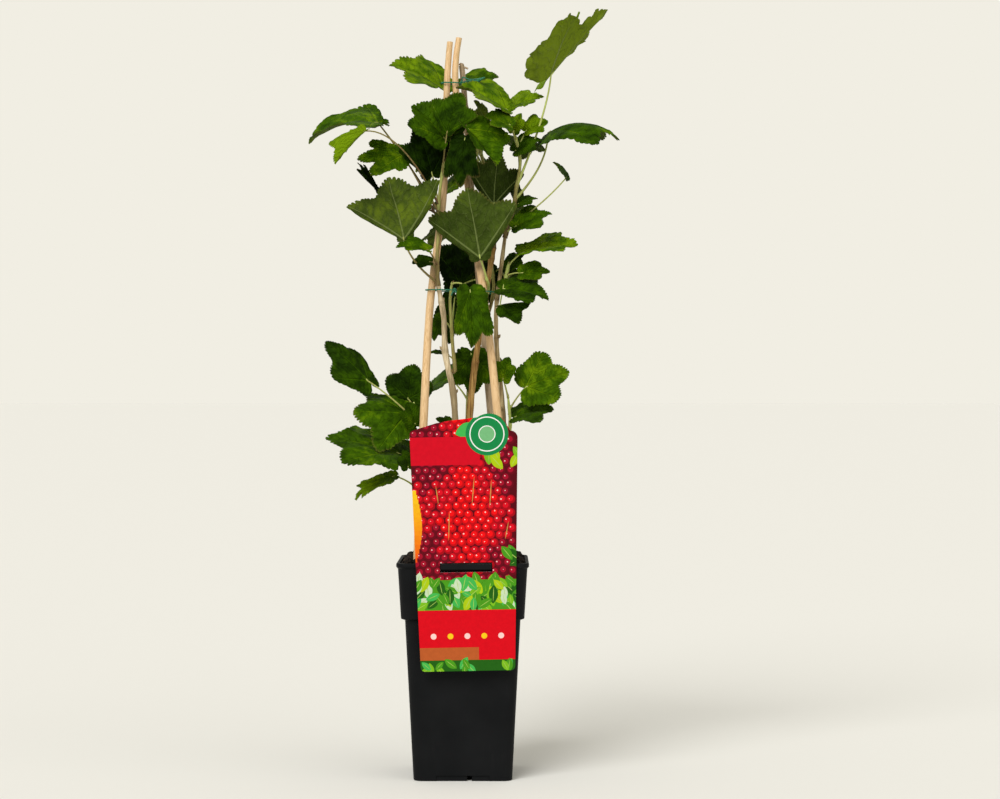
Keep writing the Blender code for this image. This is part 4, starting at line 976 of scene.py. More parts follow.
def settle(choices, around, node):
    """The first leaf of several choices that nothing is in the way of, or else the clearest."""
    best = None
    for blade, stalk in choices:
        found = around.conflicts(blade, stalk, node)
        if best is None or found < best[0]:
            best = (found, blade, stalk)
        if found == 0:
            break
    blade, stalk = best[1:]
    around.add_leaf(blade, stalk, node)
    return blade, stalk


def front_choices(stem, leaf, phase):
    """A leaf where it is seen, moved to and fro along the line of sight."""
    root = at_row(stem, leaf.root)
    for attempt in range(2 * DEPTH_TRIES):
        shift = DEPTH_STEP / MM * ((attempt + 1) // 2) * (-1 if attempt % 2 else 1)
        joint = seen(*leaf.joint, leaf.depth + shift)
        tip = seen(*leaf.tip, leaf.depth + shift + leaf.lean)
        blade = Blade(joint, tip, leaf, phase)
        blade.via, blade.tone = leaf.via, leaf.tone
        yield blade, petiole_path(root, blade, leaf.via)


def back_choices(stem, index, rule, random):
    """Leaves behind the bush: petioles fan out to the back, to left and right in turn."""
    count, first_row, last_row = rule
    root = at_row(stem, first_row + (last_row - first_row) * index / (count - 1))
    for _ in range(3 * DEPTH_TRIES):
        fan = math.radians(90 + BACK_FAN * (-1) ** index * (0.35 + 0.65 * random.random()))
        outward = Vector((math.cos(fan), math.sin(fan), 0))
        reach = random.uniform(*BACK_PETIOLE)
        joint = root + outward * reach * 0.85 + Vector((0, 0, reach * 0.5))
        droop = math.radians(random.uniform(*BACK_DROOP))
        ahead = outward * math.cos(droop) - Vector((0, 0, math.sin(droop)))
        tip = joint + ahead * random.uniform(*BACK_BLADE)
        leaf = BACK_LEAF._replace(turn=random.uniform(*BACK_TURN))
        blade = Blade(joint, tip, leaf, random.uniform(*PHASES))
        blade.via, blade.tone = None, BACK_TONES[index % len(BACK_TONES)]
        yield blade, petiole_path(root, blade, None)


def hull(points):
    """The convex outline of points in a plane, anticlockwise."""
    points = sorted(set(points))

    def half(ordered):
        chain = []
        for p in ordered:
            while len(chain) > 1 and ((chain[-1][0] - chain[-2][0]) * (p[1] - chain[-2][1])
                                      <= (chain[-1][1] - chain[-2][1]) * (p[0] - chain[-2][0])):
                chain.pop()
            chain.append(p)
        return chain[:-1]

    return half(points) + half(points[::-1])


def tie_loop(rods, row, slope):
    """A loop of twine drawn tight round the rods at a row, lower to the right by a slope."""
    level = seen(CENTRE_COLUMN, row).z
    around = []
    for path, radii in rods:
        place = at_row(path, row)
        reach = max(radii) + LOOP_GAP + TWINE_RADIUS
        for step in range(LOOP_SIDES):
            angle = math.radians(360 / LOOP_SIDES * step)
            around.append((round(place.x + reach * math.cos(angle), 5),
                           round(place.y + reach * math.sin(angle), 5)))
    return [Vector((x, y, level - slope * max(0, x))) for x, y in hull(around)]


def layout():
    """Where everything grows: rods as path and radii, stems, loops of twine and leaves."""
    rods = {}
    for name, (points, first, last) in {**CANES, **WOOD}.items():
        path = smooth_path([seen(*point) for point in points], 2)
        bumps = CANE_JOINTS if name in CANES else WOOD_JOINTS
        rods[name] = (path, tapered(path, first * MM, last * MM, bumps))
    stems = {name: shoot_path(points, rods) for name, points in SHOOTS.items()}
    at_tie = [(stems[name], SHOOT_RADII[:1]) for name in ("shoot_inner", "shoot_back_high")]
    loops = {
        "tie_middle": tie_loop([*rods.values(), *at_tie], MID_TIE_ROW, MID_TIE_SLOPE),
        "tie_top": tie_loop([rods[name] for name in CANES], TOP_TIE_ROW, 0),
    }
    around = Surroundings()
    for name, (path, radii) in rods.items():
        around.add_line(path, max(radii), name)
    for name, path in stems.items():
        around.add_line(path, SHOOT_RADII[0], name)
    for name, loop in loops.items():
        around.add_line(loop + loop[:1], KNOT_ROOM, name)
    for height in np.arange(LABEL_FOOT, LABEL_CREST, LABEL_STEP):
        ends = [Vector((LABEL_X + side * LABEL_TOP_WIDTH / 2, LABEL_FRONT, height))
                for side in (-1, 1)]
        around.add_line(ends, LABEL_ROOM, "label")

    random = np.random.default_rng(SEED)
    grown = {name: [] for name in SHOOTS}
    for name, leaves in LEAVES.items():
        for leaf in leaves:
            choices = front_choices(stems[name], leaf, random.uniform(*PHASES))
            grown[name].append(settle(choices, around, name))
    for name, rule in BACK_LEAVES.items():
        for index in range(rule[0]):
            choices = back_choices(stems[name], index, rule, random)
            grown[name].append(settle(choices, around, name))
    return rods, stems, loops, grown


class Pile:
    """Points and faces of one piece, and two vectors a point that its material reads."""

    def __init__(self):
        self.points = []
        self.faces = []
        self.slots = []
        self.place = []
        self.nature = []

    def add(self, points, faces, place, nature, slot=0):
        first = len(self.points)
        self.points.extend(tuple(point) for point in points)
        self.faces.extend(tuple(first + number for number in face) for face in faces)
        self.slots.extend([slot] * len(faces))
        self.place.extend(place)
        self.nature.extend(nature)

    def finish(self, name, materials, slot_name, nodes, sharp=SHARP):
        """Make the piece inside the CAD's box, riding on the root, in place of the given nodes."""
        mesh = bpy.data.meshes.new(name)
        inside = np.clip(self.points, *cad_box)
        mesh.from_pydata(inside.tolist(), [], self.faces)
        for finish in materials:
            mesh.materials.append(finish)
        mesh.polygons.foreach_set("material_index", self.slots)
        for title, values in (("place", self.place), ("nature", self.nature)):
            layer = mesh.attributes.new(title, "FLOAT_VECTOR", "POINT")
            layer.data.foreach_set("vector", np.array(values, np.float32).ravel())
        mesh.validate()
        mesh.shade_smooth()
        mesh.set_sharp_from_angle(angle=math.radians(sharp))
        made = bpy.data.objects.new(name, mesh)
        bpy.context.scene.collection.objects.link(made)
        settle_piece(made, nodes)


def settle_piece(piece, nodes):
    """Fix a piece to the root and the nodes that it replaces."""
    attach(piece, "root")
    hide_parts(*nodes)


def tangent_at(path, index, closed):
    """The direction of a path at one of its points."""
    count = len(path)
    ahead = path[(index + 1) % count] if closed else path[min(index + 1, count - 1)]
    behind = path[index - 1] if closed or index else path[0]
    return (ahead - behind).normalized()


def sweep(pile, path, radii, sides, nature, slot=0, closed=False, bore=0.0):
    """A tube along a path, capped unless it is closed in a ring.

    nature gives the material's vector for a share of the path. A bore is the radius of a
    hole in the far end, as a share of the tube's.
    """
    last_number = len(path) - 1
    normal = None
    travelled = 0.0
    rings = []
    for index, (centre, radius) in enumerate(zip(path, radii)):
        tangent = tangent_at(path, index, closed)
        if closed or normal is None:
            normal = tangent.cross(UP if abs(tangent.z) < 0.9 else SIDEWAYS).normalized()
        normal = (normal - tangent * normal.dot(tangent)).normalized()
        if index:
            travelled += (centre - path[index - 1]).length
        rings.append((centre, normal, tangent.cross(normal), radius, travelled, index / last_number))
    if bore:
        last = rings[-1]
        for share, sunk in ((bore, 0), (bore * 0.85, BORE_DEPTH)):
            rings.append((last[0] - tangent * sunk, *last[1:3], last[3] * share, *last[4:]))
    points, place, natures, faces = [], [], [], []
    for centre, normal, across, radius, travelled, share in rings:
        for side in range(sides):
            angle = 2 * math.pi * side / sides
            points.append(centre + (normal * math.cos(angle) + across * math.sin(angle)) * radius)
            place.append((math.cos(angle), math.sin(angle), travelled))
            natures.append(nature(share))
    bands = len(rings) if closed else len(rings) - 1
    for ring in range(bands):
        low, high = ring * sides, (ring + 1) % len(rings) * sides
        for side in range(sides):
            after = (side + 1) % sides
            faces.append((low + side, low + after, high + after, high + side))
    if not closed:
        faces.append(tuple(range(sides))[::-1])
        faces.append(tuple((len(rings) - 1) * sides + side for side in range(sides)))
    pile.add(points, faces, place, natures, slot)


def fine_path(path, pitch):
    """A smooth path through the same points, with one about every pitch."""
    spans = max(2, round((path[1] - path[0]).length / pitch))
    return smooth_path(path, spans)


def outline_half(random):
    """Points from a blade's tip round to behind its joint, on the side where across is positive.

    Teeth differ in width and depth, and point to the nearest lobe's tip.
    """
    corners = []
    for degrees, reach in FINE_RIM:
        angle = math.radians(degrees)
        corners.append(Vector((reach * math.sin(angle), reach * math.cos(angle))))
    points = []
    for start, end, teeth in SPANS:
        run = [corner for (degrees, _), corner in zip(FINE_RIM, corners) if start <= degrees <= end]
        lengths = [0.0]
        for low, high in zip(run, run[1:]):
            lengths.append(lengths[-1] + (high - low).length)
        widths = random.uniform(*TOOTH_SPREAD, teeth)
        edges = np.concatenate([[0.0], np.cumsum(widths)]) / widths.sum()
        for tooth, width in enumerate(widths):
            middle = (edges[tooth] + edges[tooth + 1]) / 2 * lengths[-1]
            profile = TOOTH_PROFILE
            if middle > SINUS_AT[start] * lengths[-1]:
                profile = [(1 - t, depth) for t, depth in TOOTH_PROFILE[::-1]]
            for t, depth in profile:
                share = edges[tooth] + (edges[tooth + 1] - edges[tooth]) * t
                aim = lengths[-1] * share
                span = max(n for n, length in enumerate(lengths[:-1]) if length <= aim)
                along = run[span + 1] - run[span]
                length = lengths[span + 1] - lengths[span]
                place = run[span] + along * (aim - lengths[span]) / length
                along.normalize()
                inward = Vector((along.y, -along.x))
                degrees = math.degrees(math.atan2(place.x, place.y))
                toothed = min(max((TOOTHLESS_FROM - degrees) / TOOTH_FADE, 0), 1)
                notch = depth * TOOTH_DEPTH * width ** WIDE_TOOTH
                points.append(place + inward * (notch - TOOTH_RISE) * toothed)
    points[0] = corners[0]
    return points


def blade_rings(random):
    """Rings of points in the blade's own plane, outermost first, with their steps along the rim."""
    right = outline_half(random)
    left = [Vector((-point.x, point.y)) for point in outline_half(random)]
    behind = Vector((0, -FINE_RIM[-1][1]))
    rim = right + [behind] + left[:0:-1]
    rings = []
    for step, shares in ((1, FULL_RINGS), (2, HALF_RINGS), (4, QUARTER_RINGS)):
        rings += [(step, share, [point * share for point in rim[::step]]) for share in shares]
    return rings


def ring_faces(rings):
    """Faces of the upper side: bands of quads, with triangles where a ring has half the points."""
    starts = np.cumsum([0] + [len(points) for _, _, points in rings])
    faces = []
    for index in range(len(rings) - 1):
        count = len(rings[index][2])
        outer, inner = int(starts[index]), int(starts[index + 1])
        if len(rings[index + 1][2]) == count:
            for place in range(count):
                after = (place + 1) % count
                faces.append((outer + place, inner + place, inner + after, outer + after))
        else:
            for place in range(count // 2):
                after = (place + 1) % (count // 2)
                low, middle = outer + 2 * place, outer + 2 * place + 1
                high = outer + (2 * place + 2) % count
                faces.append((low, inner + place, middle))
                faces.append((middle, inner + place, inner + after))
                faces.append((middle, inner + after, high))
    hub = int(starts[-1])
    last = int(starts[-2])
    count = len(rings[-1][2])
    faces += [(last + place, hub, last + (place + 1) % count) for place in range(count)]
    return faces


def fine_blade(pile, blade, tone, random):
    """A blade with toothed lobes, both its sides and its main veins, laid on the plain one."""
    rings = blade_rings(random)
    faces = ring_faces(rings)
    phase = random.uniform(*PHASES)
    points, place, nature, relief = [], [], [], []
    chance = random.random()
    rays = len(rings[0][2])
    for step, share, ring in rings:
        for index, spot in enumerate(ring):
            degrees = math.degrees(math.atan2(spot.x, spot.y)) % 360
            surface = blade.point(degrees, spot.length)
            near = min(abs(degrees - vein) for vein in VEIN_ANGLES)
            apart = spot.length * math.sin(math.radians(min(near, TROUGH_LIMIT)))
            trough = TROUGH * apart * (1 - min(degrees, 360 - degrees) / TROUGH_END)
            flutter = 0
            for size, power, scale, shift in RIM_WAVES:
                wave = noise.noise(Vector((spot.x * scale, spot.y * scale, phase * shift)))
                flutter += size * share ** power * wave
            points.append(surface + blade.up * blade.length * (trough + flutter))
            place.append((spot.x, spot.y))
            nature.append((tone, chance, share))
            ray = index * step
            nearest = min(min(abs(ray - vein), abs(rays - ray - vein)) for vein in VEIN_RAYS)
            weight = 1.0 if nearest == 0 else VEIN_FLANK if nearest <= 1 else 0.0
            relief.append(weight * (1.1 - share))
    points.append(blade.joint)
    place.append((0, 0))
    nature.append((tone, chance, 0))
    relief.append(1.0)
    middle = np.array([tuple(point) for point in points])
    normals = np.zeros_like(middle)
    for face in faces:
        corner = middle[face[0]]
        turn = np.cross(middle[face[1]] - corner, middle[face[-1]] - corner)
        for number in face:
            normals[number] += turn
    normals /= np.linalg.norm(normals, axis=1)[:, None]
    relief = np.array(relief)[:, None] * VEIN_RISE
    upper = middle + normals * (LEAF_SKIN - relief * UPPER_RELIEF)
    under = middle - normals * (LEAF_SKIN + relief)
    count = len(points)
    faces_under = [tuple(count + number for number in reversed(face)) for face in faces]
    edge = [(index, (index + 1) % rays, count + (index + 1) % rays, count + index)
            for index in range(rays)]
    both = [(*spot, 1.0) for spot in place] + [(*spot, -1.0) for spot in place]
    pile.add(np.concatenate([upper, under]), faces + faces_under + edge, both, nature * 2)


class Graph:
    """The nodes of one procedural material."""

    def __init__(self, name, roughness, specular):
        self.material = bpy.data.materials.new(name)
        self.material.use_nodes = True
        self.tree = self.material.node_tree
        self.shader = self.tree.nodes["Principled BSDF"]
        self.shader.inputs["Roughness"].default_value = roughness
        self.shader.inputs["Specular IOR Level"].default_value = specular

    def put(self, socket, value):
        if isinstance(value, bpy.types.NodeSocket):
            self.tree.links.new(value, socket)
        elif value is not None:
            socket.default_value = value

    def node(self, kind, settings=(), **values):
        made = self.tree.nodes.new(kind)
        for name, value in settings:
            setattr(made, name, value)
        for name, value in values.items():
            self.put(made.inputs[name.replace("_", " ")], value)
        return made

    def attribute(self, name):
        found = self.node("ShaderNodeAttribute", [("attribute_name", name)])
        return found.outputs["Vector"]

    def split(self, vector):
        return self.node("ShaderNodeSeparateXYZ", Vector=vector).outputs[:]

    def maths(self, operation, first, second=None):
        made = self.node("ShaderNodeMath", [("operation", operation)])
        self.put(made.inputs[0], first)
        self.put(made.inputs[1], second)
        return made.outputs[0]

    def add(self, first, second):
        return self.maths("ADD", first, second)

    def minus(self, first, second):
        return self.maths("SUBTRACT", first, second)

    def times(self, first, second):
        return self.maths("MULTIPLY", first, second)

    def most(self, first, second):
        return self.maths("MAXIMUM", first, second)

    def fade(self, value, low, high, start=0.0, end=1.0):
        """A smooth step from start to end as a value goes from low to high."""
        made = self.node("ShaderNodeMapRange", [("interpolation_type", "SMOOTHSTEP")], Value=value)
        made.inputs["From Min"].default_value = low
        made.inputs["From Max"].default_value = high
        made.inputs["To Min"].default_value = start
        made.inputs["To Max"].default_value = end
        return made.outputs[0]

    def mix(self, share, first, second):
        made = self.node("ShaderNodeMix", [("data_type", "RGBA")])
        self.put(made.inputs[0], share)
        for socket, colour in zip(made.inputs[6:8], (first, second)):
            self.put(socket, (*colour, 1) if isinstance(colour, tuple) else colour)
        return made.outputs[2]

    def ramp(self, value, *colours):
        """Colours at even steps from 0 to 1."""
        made = self.node("ShaderNodeValToRGB", Fac=value)
        stops = made.color_ramp.elements
        while len(stops) < len(colours):
            stops.new(0.5)
        for index, colour in enumerate(colours):
            stops[index].position = index / (len(colours) - 1)
            stops[index].color = (*colour, 1)
        return made.outputs[0]

    def here(self, stretch=(1, 1, 1)):
        """The place on the object, stretched along the axes."""
        place = self.node("ShaderNodeTexCoord").outputs["Object"]
        return self.node("ShaderNodeMapping", Vector=place, Scale=stretch).outputs[0]

    def noise(self, vector, scale, detail=3.0):
        return self.node("ShaderNodeTexNoise", Vector=vector, Scale=scale, Detail=detail).outputs["Fac"]

    def bump(self, height, distance, strength):
        made = self.node("ShaderNodeBump", Height=height, Distance=distance, Strength=strength)
        self.put(self.shader.inputs["Normal"], made.outputs[0])

    def colour(self, value):
        self.put(self.shader.inputs["Base Color"], value)
        return self.material


def leaf_material():
    """Leaves: a vein along each lobe, side veins, swellings between them, a paler underside, with
    painted shade and light from the tone and a painted highlight on the swellings.
    """
    g = Graph("leaf", 0.5, 0.015)
    across, ahead, side = g.split(g.attribute("place"))
    tone, chance, share = g.split(g.attribute("nature"))
    angle = g.maths("ARCTAN2", g.maths("ABSOLUTE", across), ahead)
    reach = g.maths("SQRT", g.add(g.times(across, across), g.times(ahead, ahead)))
    lobe = g.maths("ROUND", g.maths("DIVIDE", g.maths("MINIMUM", angle, BASAL_LIMIT), VEIN_STEP))
    off = g.minus(angle, g.times(lobe, VEIN_STEP))
    along = g.times(reach, g.maths("COSINE", off))
    apart = g.maths("ABSOLUTE", g.times(reach, g.maths("SINE", off)))
    width = g.fade(along, 0.0, 1.0, 0.026, 0.008)
    main = g.fade(g.maths("DIVIDE", apart, width), 0.35, 1.0, 1.0, 0.0)
    step = g.minus(along, g.times(apart, LATERAL_SLOPE))
    wander = g.noise(g.attribute("place"), 7.0, 2.0)
    step = g.add(g.times(step, LATERALS), g.times(wander, 2.2))
    part = g.maths("FRACT", step)
    beside = g.maths("MINIMUM", part, g.minus(1.0, part))
    lateral = g.fade(beside, 0.015, 0.085, 1.0, 0.0)
    swell = g.fade(beside, 0.0, 0.40)
    net = g.node("ShaderNodeTexVoronoi", [("feature", "DISTANCE_TO_EDGE")],
                 Vector=g.attribute("place"), Scale=30.0).outputs["Distance"]
    net = g.fade(net, 0.0, 0.10, 1.0, 0.0)
    blotch = g.fade(g.noise(g.here(), 120.0, 5.0), 0.3, 0.7, -0.15, 0.15)
    cloud = g.fade(g.noise(g.here(), 42.0, 5.0), 0.35, 0.65, -0.10, 0.10)
    # The tone paints shade deep in the bush and light on bright blades, and the swellings between side
    # veins get a painted highlight
    toned_and_shaded = g.add(g.add(tone, blotch), g.add(cloud, g.times(swell, 0.05)))
    upper_vein = g.most(g.times(main, 0.17), g.times(lateral, 0.07))
    upper = g.ramp(g.add(toned_and_shaded, upper_vein), UPPER_DEEP_SHADE, UPPER_DARK, UPPER_MID, UPPER_BRIGHT)
    under_vein = g.most(g.times(main, 0.75), g.times(lateral, 0.22))
    under_vein = g.most(under_vein, g.times(net, 0.12))
    under = g.mix(under_vein, g.ramp(toned_and_shaded, UNDER_DARK, UNDER_MID, UNDER_BRIGHT), UNDER_VEIN)
    lit = g.fade(side, -0.1, 0.1)
    surface = g.mix(lit, under, upper)
    worn = g.times(g.fade(share, 0.955, 1.0), g.fade(chance, 0.2, 1.0, 0.0, 0.35))
    surface = g.mix(worn, surface, LEAF_RIM)
    relief = g.most(main, g.times(lateral, 0.5))
    relief = g.minus(g.times(swell, 0.45), relief)
    relief = g.minus(relief, g.times(net, 0.15))
    g.bump(g.times(relief, g.fade(side, -0.1, 0.1, -1.0, 1.0)), 0.9 * MM, 0.85)
    g.put(g.shader.inputs["Roughness"], g.fade(side, -0.1, 0.1, 0.68, 0.46))
    return g.colour(surface)


def stalk_material():
    """Leaf stalks and young stems: green, redder toward the base."""
    g = Graph("green_stalk", 0.5, 0.25)
    redness, _, _ = g.split(g.attribute("nature"))
    streak = g.noise(g.here((1, 1, 0.15)), 900.0)
    shade = g.add(redness, g.fade(streak, 0.3, 0.7, -0.15, 0.15))
    g.bump(streak, 0.15 * MM, 0.6)
    return g.colour(g.ramp(shade, STALK_GREEN, STALK_OLIVE, STALK_RED))


def cane_material(name, dark, pale):
    """Bamboo: fine fibres along the cane, darker at its joints, with grey stains."""
    g = Graph(name, 0.5, 0.4)
    joint, _, _ = g.split(g.attribute("nature"))
    fibre = g.noise(g.here((1, 1, 0.02)), 1500.0, 4.0)
    stain = g.noise(g.here((1, 1, 0.3)), 70.0, 4.0)
    surface = g.ramp(g.fade(fibre, 0.3, 0.7), dark, pale, pale)
    surface = g.mix(g.fade(stain, 0.55, 0.75, 0.0, 0.45), surface, CANE_STAIN)
    surface = g.mix(g.times(joint, 0.75), surface, CANE_JOINT)
    g.bump(g.add(fibre, g.times(stain, 0.5)), 0.12 * MM, 0.7)
    return g.colour(surface)


def bark_material(name, dark, middle, pale, old_below=0.0):
    """Young bark: streaked lengthwise in strips, patchy, and darker below a height."""
    g = Graph(name, 0.8, 0.3)
    joint, _, _ = g.split(g.attribute("nature"))
    strip = g.noise(g.here((1, 1, 0.06)), 700.0, 5.0)
    patch = g.noise(g.here((1, 1, 0.4)), 90.0, 3.0)
    shade = g.add(g.fade(strip, 0.3, 0.7, 0.0, 0.65), g.fade(patch, 0.3, 0.7, -0.1, 0.35))
    height = g.split(g.here())[2]
    old = g.fade(height, old_below - AGE_BLEND, old_below + AGE_BLEND, OLD_SHADE, 0.0)
    shade = g.add(shade, old)
    surface = g.mix(g.times(joint, 0.6), g.ramp(shade, dark, middle, pale), dark)
    g.bump(strip, 0.5 * MM, 0.9)
    return g.colour(surface)


def pot_material():
    """Matt black moulded plastic, with a fine grain and faint scuffs."""
    g = Graph("pot_plastic", 0.5, 0.06)
    grain = g.noise(g.here(), 1400.0, 2.0)
    cloud = g.noise(g.here(), 26.0, 4.0)
    scuff = g.noise(g.here((1, 1, 0.12)), 130.0, 5.0)
    worn = g.times(g.fade(scuff, 0.60, 0.80), g.fade(cloud, 0.45, 0.75))
    g.put(g.shader.inputs["Roughness"], g.fade(cloud, 0.3, 0.7, 0.42, 0.58))
    g.bump(g.add(grain, g.times(scuff, 0.6)), 0.08 * MM, 0.6)
    surface = g.mix(g.fade(cloud, 0.3, 0.8), POT_BLACK, POT_GREY)
    return g.colour(g.mix(g.times(worn, 0.5), surface, POT_SCUFF))


def soil_material():
    """Moist peat: brown-black, with lighter crumbs."""
    g = Graph("peat", 0.95, 0.2)
    _, chance, _ = g.split(g.attribute("nature"))
    crumb = g.noise(g.here(), 420.0, 6.0)
    shade = g.add(g.fade(crumb, 0.3, 0.7, 0.0, 0.6), g.times(chance, 0.4))
    g.bump(crumb, 1.2 * MM, 1.0)
    return g.colour(g.ramp(shade, SOIL_DARK, SOIL_MID, SOIL_PALE))


def print_material():
    """Printed card: each face has its own ink, faintly mottled."""
    g = Graph("label_print", 0.38, 0.07)
    ink = g.node("ShaderNodeAttribute", [("attribute_name", "ink")]).outputs["Color"]
    mottle = g.noise(g.here(), 260.0, 3.0)
    darker = g.node("ShaderNodeMix", [("data_type", "RGBA"), ("blend_type", "MULTIPLY")])
    darker.inputs[0].default_value = 0.18
    g.put(darker.inputs[6], ink)
    g.put(darker.inputs[7], g.ramp(g.fade(mottle, 0.3, 0.7), (0.55, 0.55, 0.55), (1, 1, 1)))
    g.bump(mottle, 0.02 * MM, 0.5)
    return g.colour(darker.outputs[2])


def twine_material():
    """Plastic-coated tying twine."""
    g = Graph("twine", 0.42, 0.5)
    fleck = g.noise(g.here(), 900.0)
    return g.colour(g.ramp(g.fade(fleck, 0.3, 0.7), TWINE_DARK, TWINE_GREEN))


def joints_along(share, joints, extent):
    """How much of a joint there is at a share of a rod: 1 at its middle."""
    return max(math.exp(-((share - joint) / extent) ** 2) for joint in joints)


def build_cane(name, path, radii, finish):
    """A bamboo cane: ridged joints, a little uneven between them, and a hollow cut top."""
    fine = fine_path(path, CANE_PITCH)
    count = len(fine) - 1
    first, last = radii[0], radii[-1]
    shown = []
    for index, point in enumerate(fine):
        share = index / count
        ridge = CANE_RIDGE * joints_along(share, CANE_JOINTS, RIDGE_EXTENT)
        swell = CANE_SWELL * joints_along(share, CANE_JOINTS, JOINT_EXTENT)
        below = share + GROOVE_BELOW * RIDGE_EXTENT
        groove = CANE_GROOVE * joints_along(below, CANE_JOINTS, RIDGE_EXTENT)
        uneven = CANE_UNEVEN * noise.noise(point * CANE_UNEVEN_SCALE)
        shown.append(between(first, last, share) * (1 + ridge + swell - groove + uneven))
    pile = Pile()
    sweep(pile, fine, shown, CANE_SIDES,
          lambda share: (joints_along(share, CANE_JOINTS, RIDGE_EXTENT * 1.6), 0, 0), bore=CANE_BORE)
    pile.finish(name + "_bamboo", [finish], "cane", [name])


def bud(pile, place, direction, length, redness, slot=0):
    """A pointed oval bud on a stem."""
    steps = [place + direction * length * share for share in BUD_STEPS]
    sweep(pile, steps, [length * radius for radius in BUD_RADII], BUD_SIDES,
          lambda share: (redness, share, 0), slot)


def build_wood(name, path, radii, finish, random):
    """An old stem: uneven, and thicker at its joints, with a bud at each."""
    fine = fine_path(path, WOOD_PITCH)
    count = len(fine) - 1
    first, last = radii[0], radii[-1]
    shown = []
    for index, point in enumerate(fine):
        share = index / count
        swell = WOOD_SWELL * joints_along(share, WOOD_JOINTS, JOINT_EXTENT)
        uneven = WOOD_UNEVEN * noise.noise(point * WOOD_UNEVEN_SCALE)
        foot = FOOT_FLARE * math.exp(-share / FOOT_EXTENT)
        shown.append(between(first, last, share) * (1 + swell + uneven + foot))
    pile = Pile()
    sweep(pile, fine, shown, WOOD_SIDES,
          lambda share: (joints_along(share, WOOD_JOINTS, JOINT_EXTENT * 0.5), 0, 0))
    for joint in WOOD_JOINTS:
        centre = fine[round(joint * count)]
        turn = random.uniform(0, 2 * math.pi)
        outward = Vector((math.cos(turn), math.sin(turn), 0))
        place = centre + outward * shown[round(joint * count)] * WOOD_BUD_ROOT
        bud(pile, place, (outward + UP * WOOD_BUD_LIFT).normalized(), WOOD_BUD, 1.0)
    pile.finish(name + "_bark", [finish], "bark", [name], sharp=ROD_SHARP)


def build_foliage(node, stem, grown, materials, random):
    """A leafy shoot: its stem with joints and buds, and every leaf with its stalk."""
    pile = Pile()
    fine = fine_path(stem, STEM_PITCH)
    onward = (fine[0] - fine[1]).normalized()
    fine = [fine[0] + onward * STEM_ROOT, *fine]
    count = len(fine) - 1
    first, last = SHOOT_RADII
    roots = [path[0] for _, path in grown]
    radii = []
    for index, point in enumerate(fine):
        near = sum(math.exp(-((point - root).length / NODE_EXTENT) ** 2) for root in roots)
        collar = COLLAR * math.exp(-index / count / COLLAR_EXTENT)
        radius = first + (last - first) * index / count
        radii.append(radius * (1 + NODE_SWELL * min(near, 1) + collar))
    radii[-1] *= STEM_END
    age = STEM_AGE if node in YOUNG_STEMS else OLD_STEM_AGE
    sweep(pile, fine, radii, STEM_SIDES, lambda share: (age - share * STEM_GREENING, 0, 0), 1)
    for blade, path in grown:
        stalk = petiole_path(path[0], blade, blade.via, PETIOLE_STEPS)
        thin = SMALL_LEAF_STALK if blade.length < SMALL_LEAF else 1.0
        widths = []
        for index in range(len(stalk)):
            share = index / (len(stalk) - 1)
            sheath = SHEATH * math.exp(-share / SHEATH_EXTENT)
            widths.append(thin * between(*PETIOLE_RADII, share) * (1 + sheath))
        redness = random.uniform(*(RED_STALKS if node == RED_STALKED else PETIOLE_REDNESS))
        sweep(pile, stalk, widths, STALK_SIDES,
              lambda share: (redness * (1 - STALK_GREENING * share), 0, 0), 1)
        outward = (stalk[2] - stalk[0]).normalized()
        upward = (outward + UP * STEM_BUD_LIFT).normalized()
        place = path[0] + outward * SHOOT_RADII[0] * STEM_BUD_ROOT
        bud(pile, place, upward, STEM_BUD, STEM_BUD_REDNESS, 1)
        fine_blade(pile, blade, blade.tone, random)
    pile.finish(node + "_foliage", materials, "leaf", [node])


def ply(pile, path, radius, offset, phase, closed):
    """One ply of a twisted cord round a path."""
    turned = []
    travelled = 0.0
    count = len(path)
    for index, place in enumerate(path):
        tangent = tangent_at(path, index, closed)
        level = tangent.cross(UP).normalized()
        rise = level.cross(tangent)
        angle = 2 * math.pi * travelled / TWIST_PITCH + phase
        turned.append(place + (level * math.cos(angle) + rise * math.sin(angle)) * offset)
        travelled += (path[(index + 1) % count] - place).length
    sweep(pile, turned, [radius] * count, PLY_SIDES, lambda share: (share, 0, 0), closed=closed)


def cord_round(pile, path, radius, closed=False):
    """A two-ply cord along a path."""
    for phase in (0, math.pi):
        ply(pile, path, radius * PLY_RADIUS, radius * PLY_OFFSET, phase, closed)


def resampled(points, pitch):
    """Points at about an even pitch along the straight runs of a closed loop."""
    made = []
    for start, end in zip(points, points[1:] + points[:1]):
        steps = max(1, round((end - start).length / pitch))
        made += [start.lerp(end, step / steps) for step in range(steps)]
    return made


def build_tie(name, loop, knot_at, tails, finish):
    """A tie of twisted cord, with its knot and ends."""
    pile = Pile()
    line = resampled(loop, TWINE_STEP)
    cord_round(pile, line, TWINE_RADIUS, closed=True)
    front = [point for point in line if point.y < sum(p.y for p in line) / len(line)]
    knot = min(front, key=lambda point: abs(point.x - knot_at))
    knot = knot + Vector((0, -TWINE_RADIUS, 0))
    turns = []
    for step in range(KNOT_POINTS):
        angle = 2 * math.pi * step / KNOT_POINTS
        reach = KNOT_RADIUS * (KNOT_REACH[0] + KNOT_REACH[1] * math.cos(3 * angle))
        turns.append(knot + Vector((reach * math.cos(2 * angle),
                                    KNOT_RADIUS * KNOT_DEPTH * math.sin(3 * angle),
                                    reach * math.sin(2 * angle))))
    cord_round(pile, turns, KNOT_TWINE, closed=True)
    for tail in tails:
        path = smooth_path([knot] + [knot + Vector(offset) * MM for offset in tail], 6)
        cord_round(pile, path, TAIL_TWINE)
    pile.finish(name + "_cord", [finish], "twine", [name], sharp=ROD_SHARP)


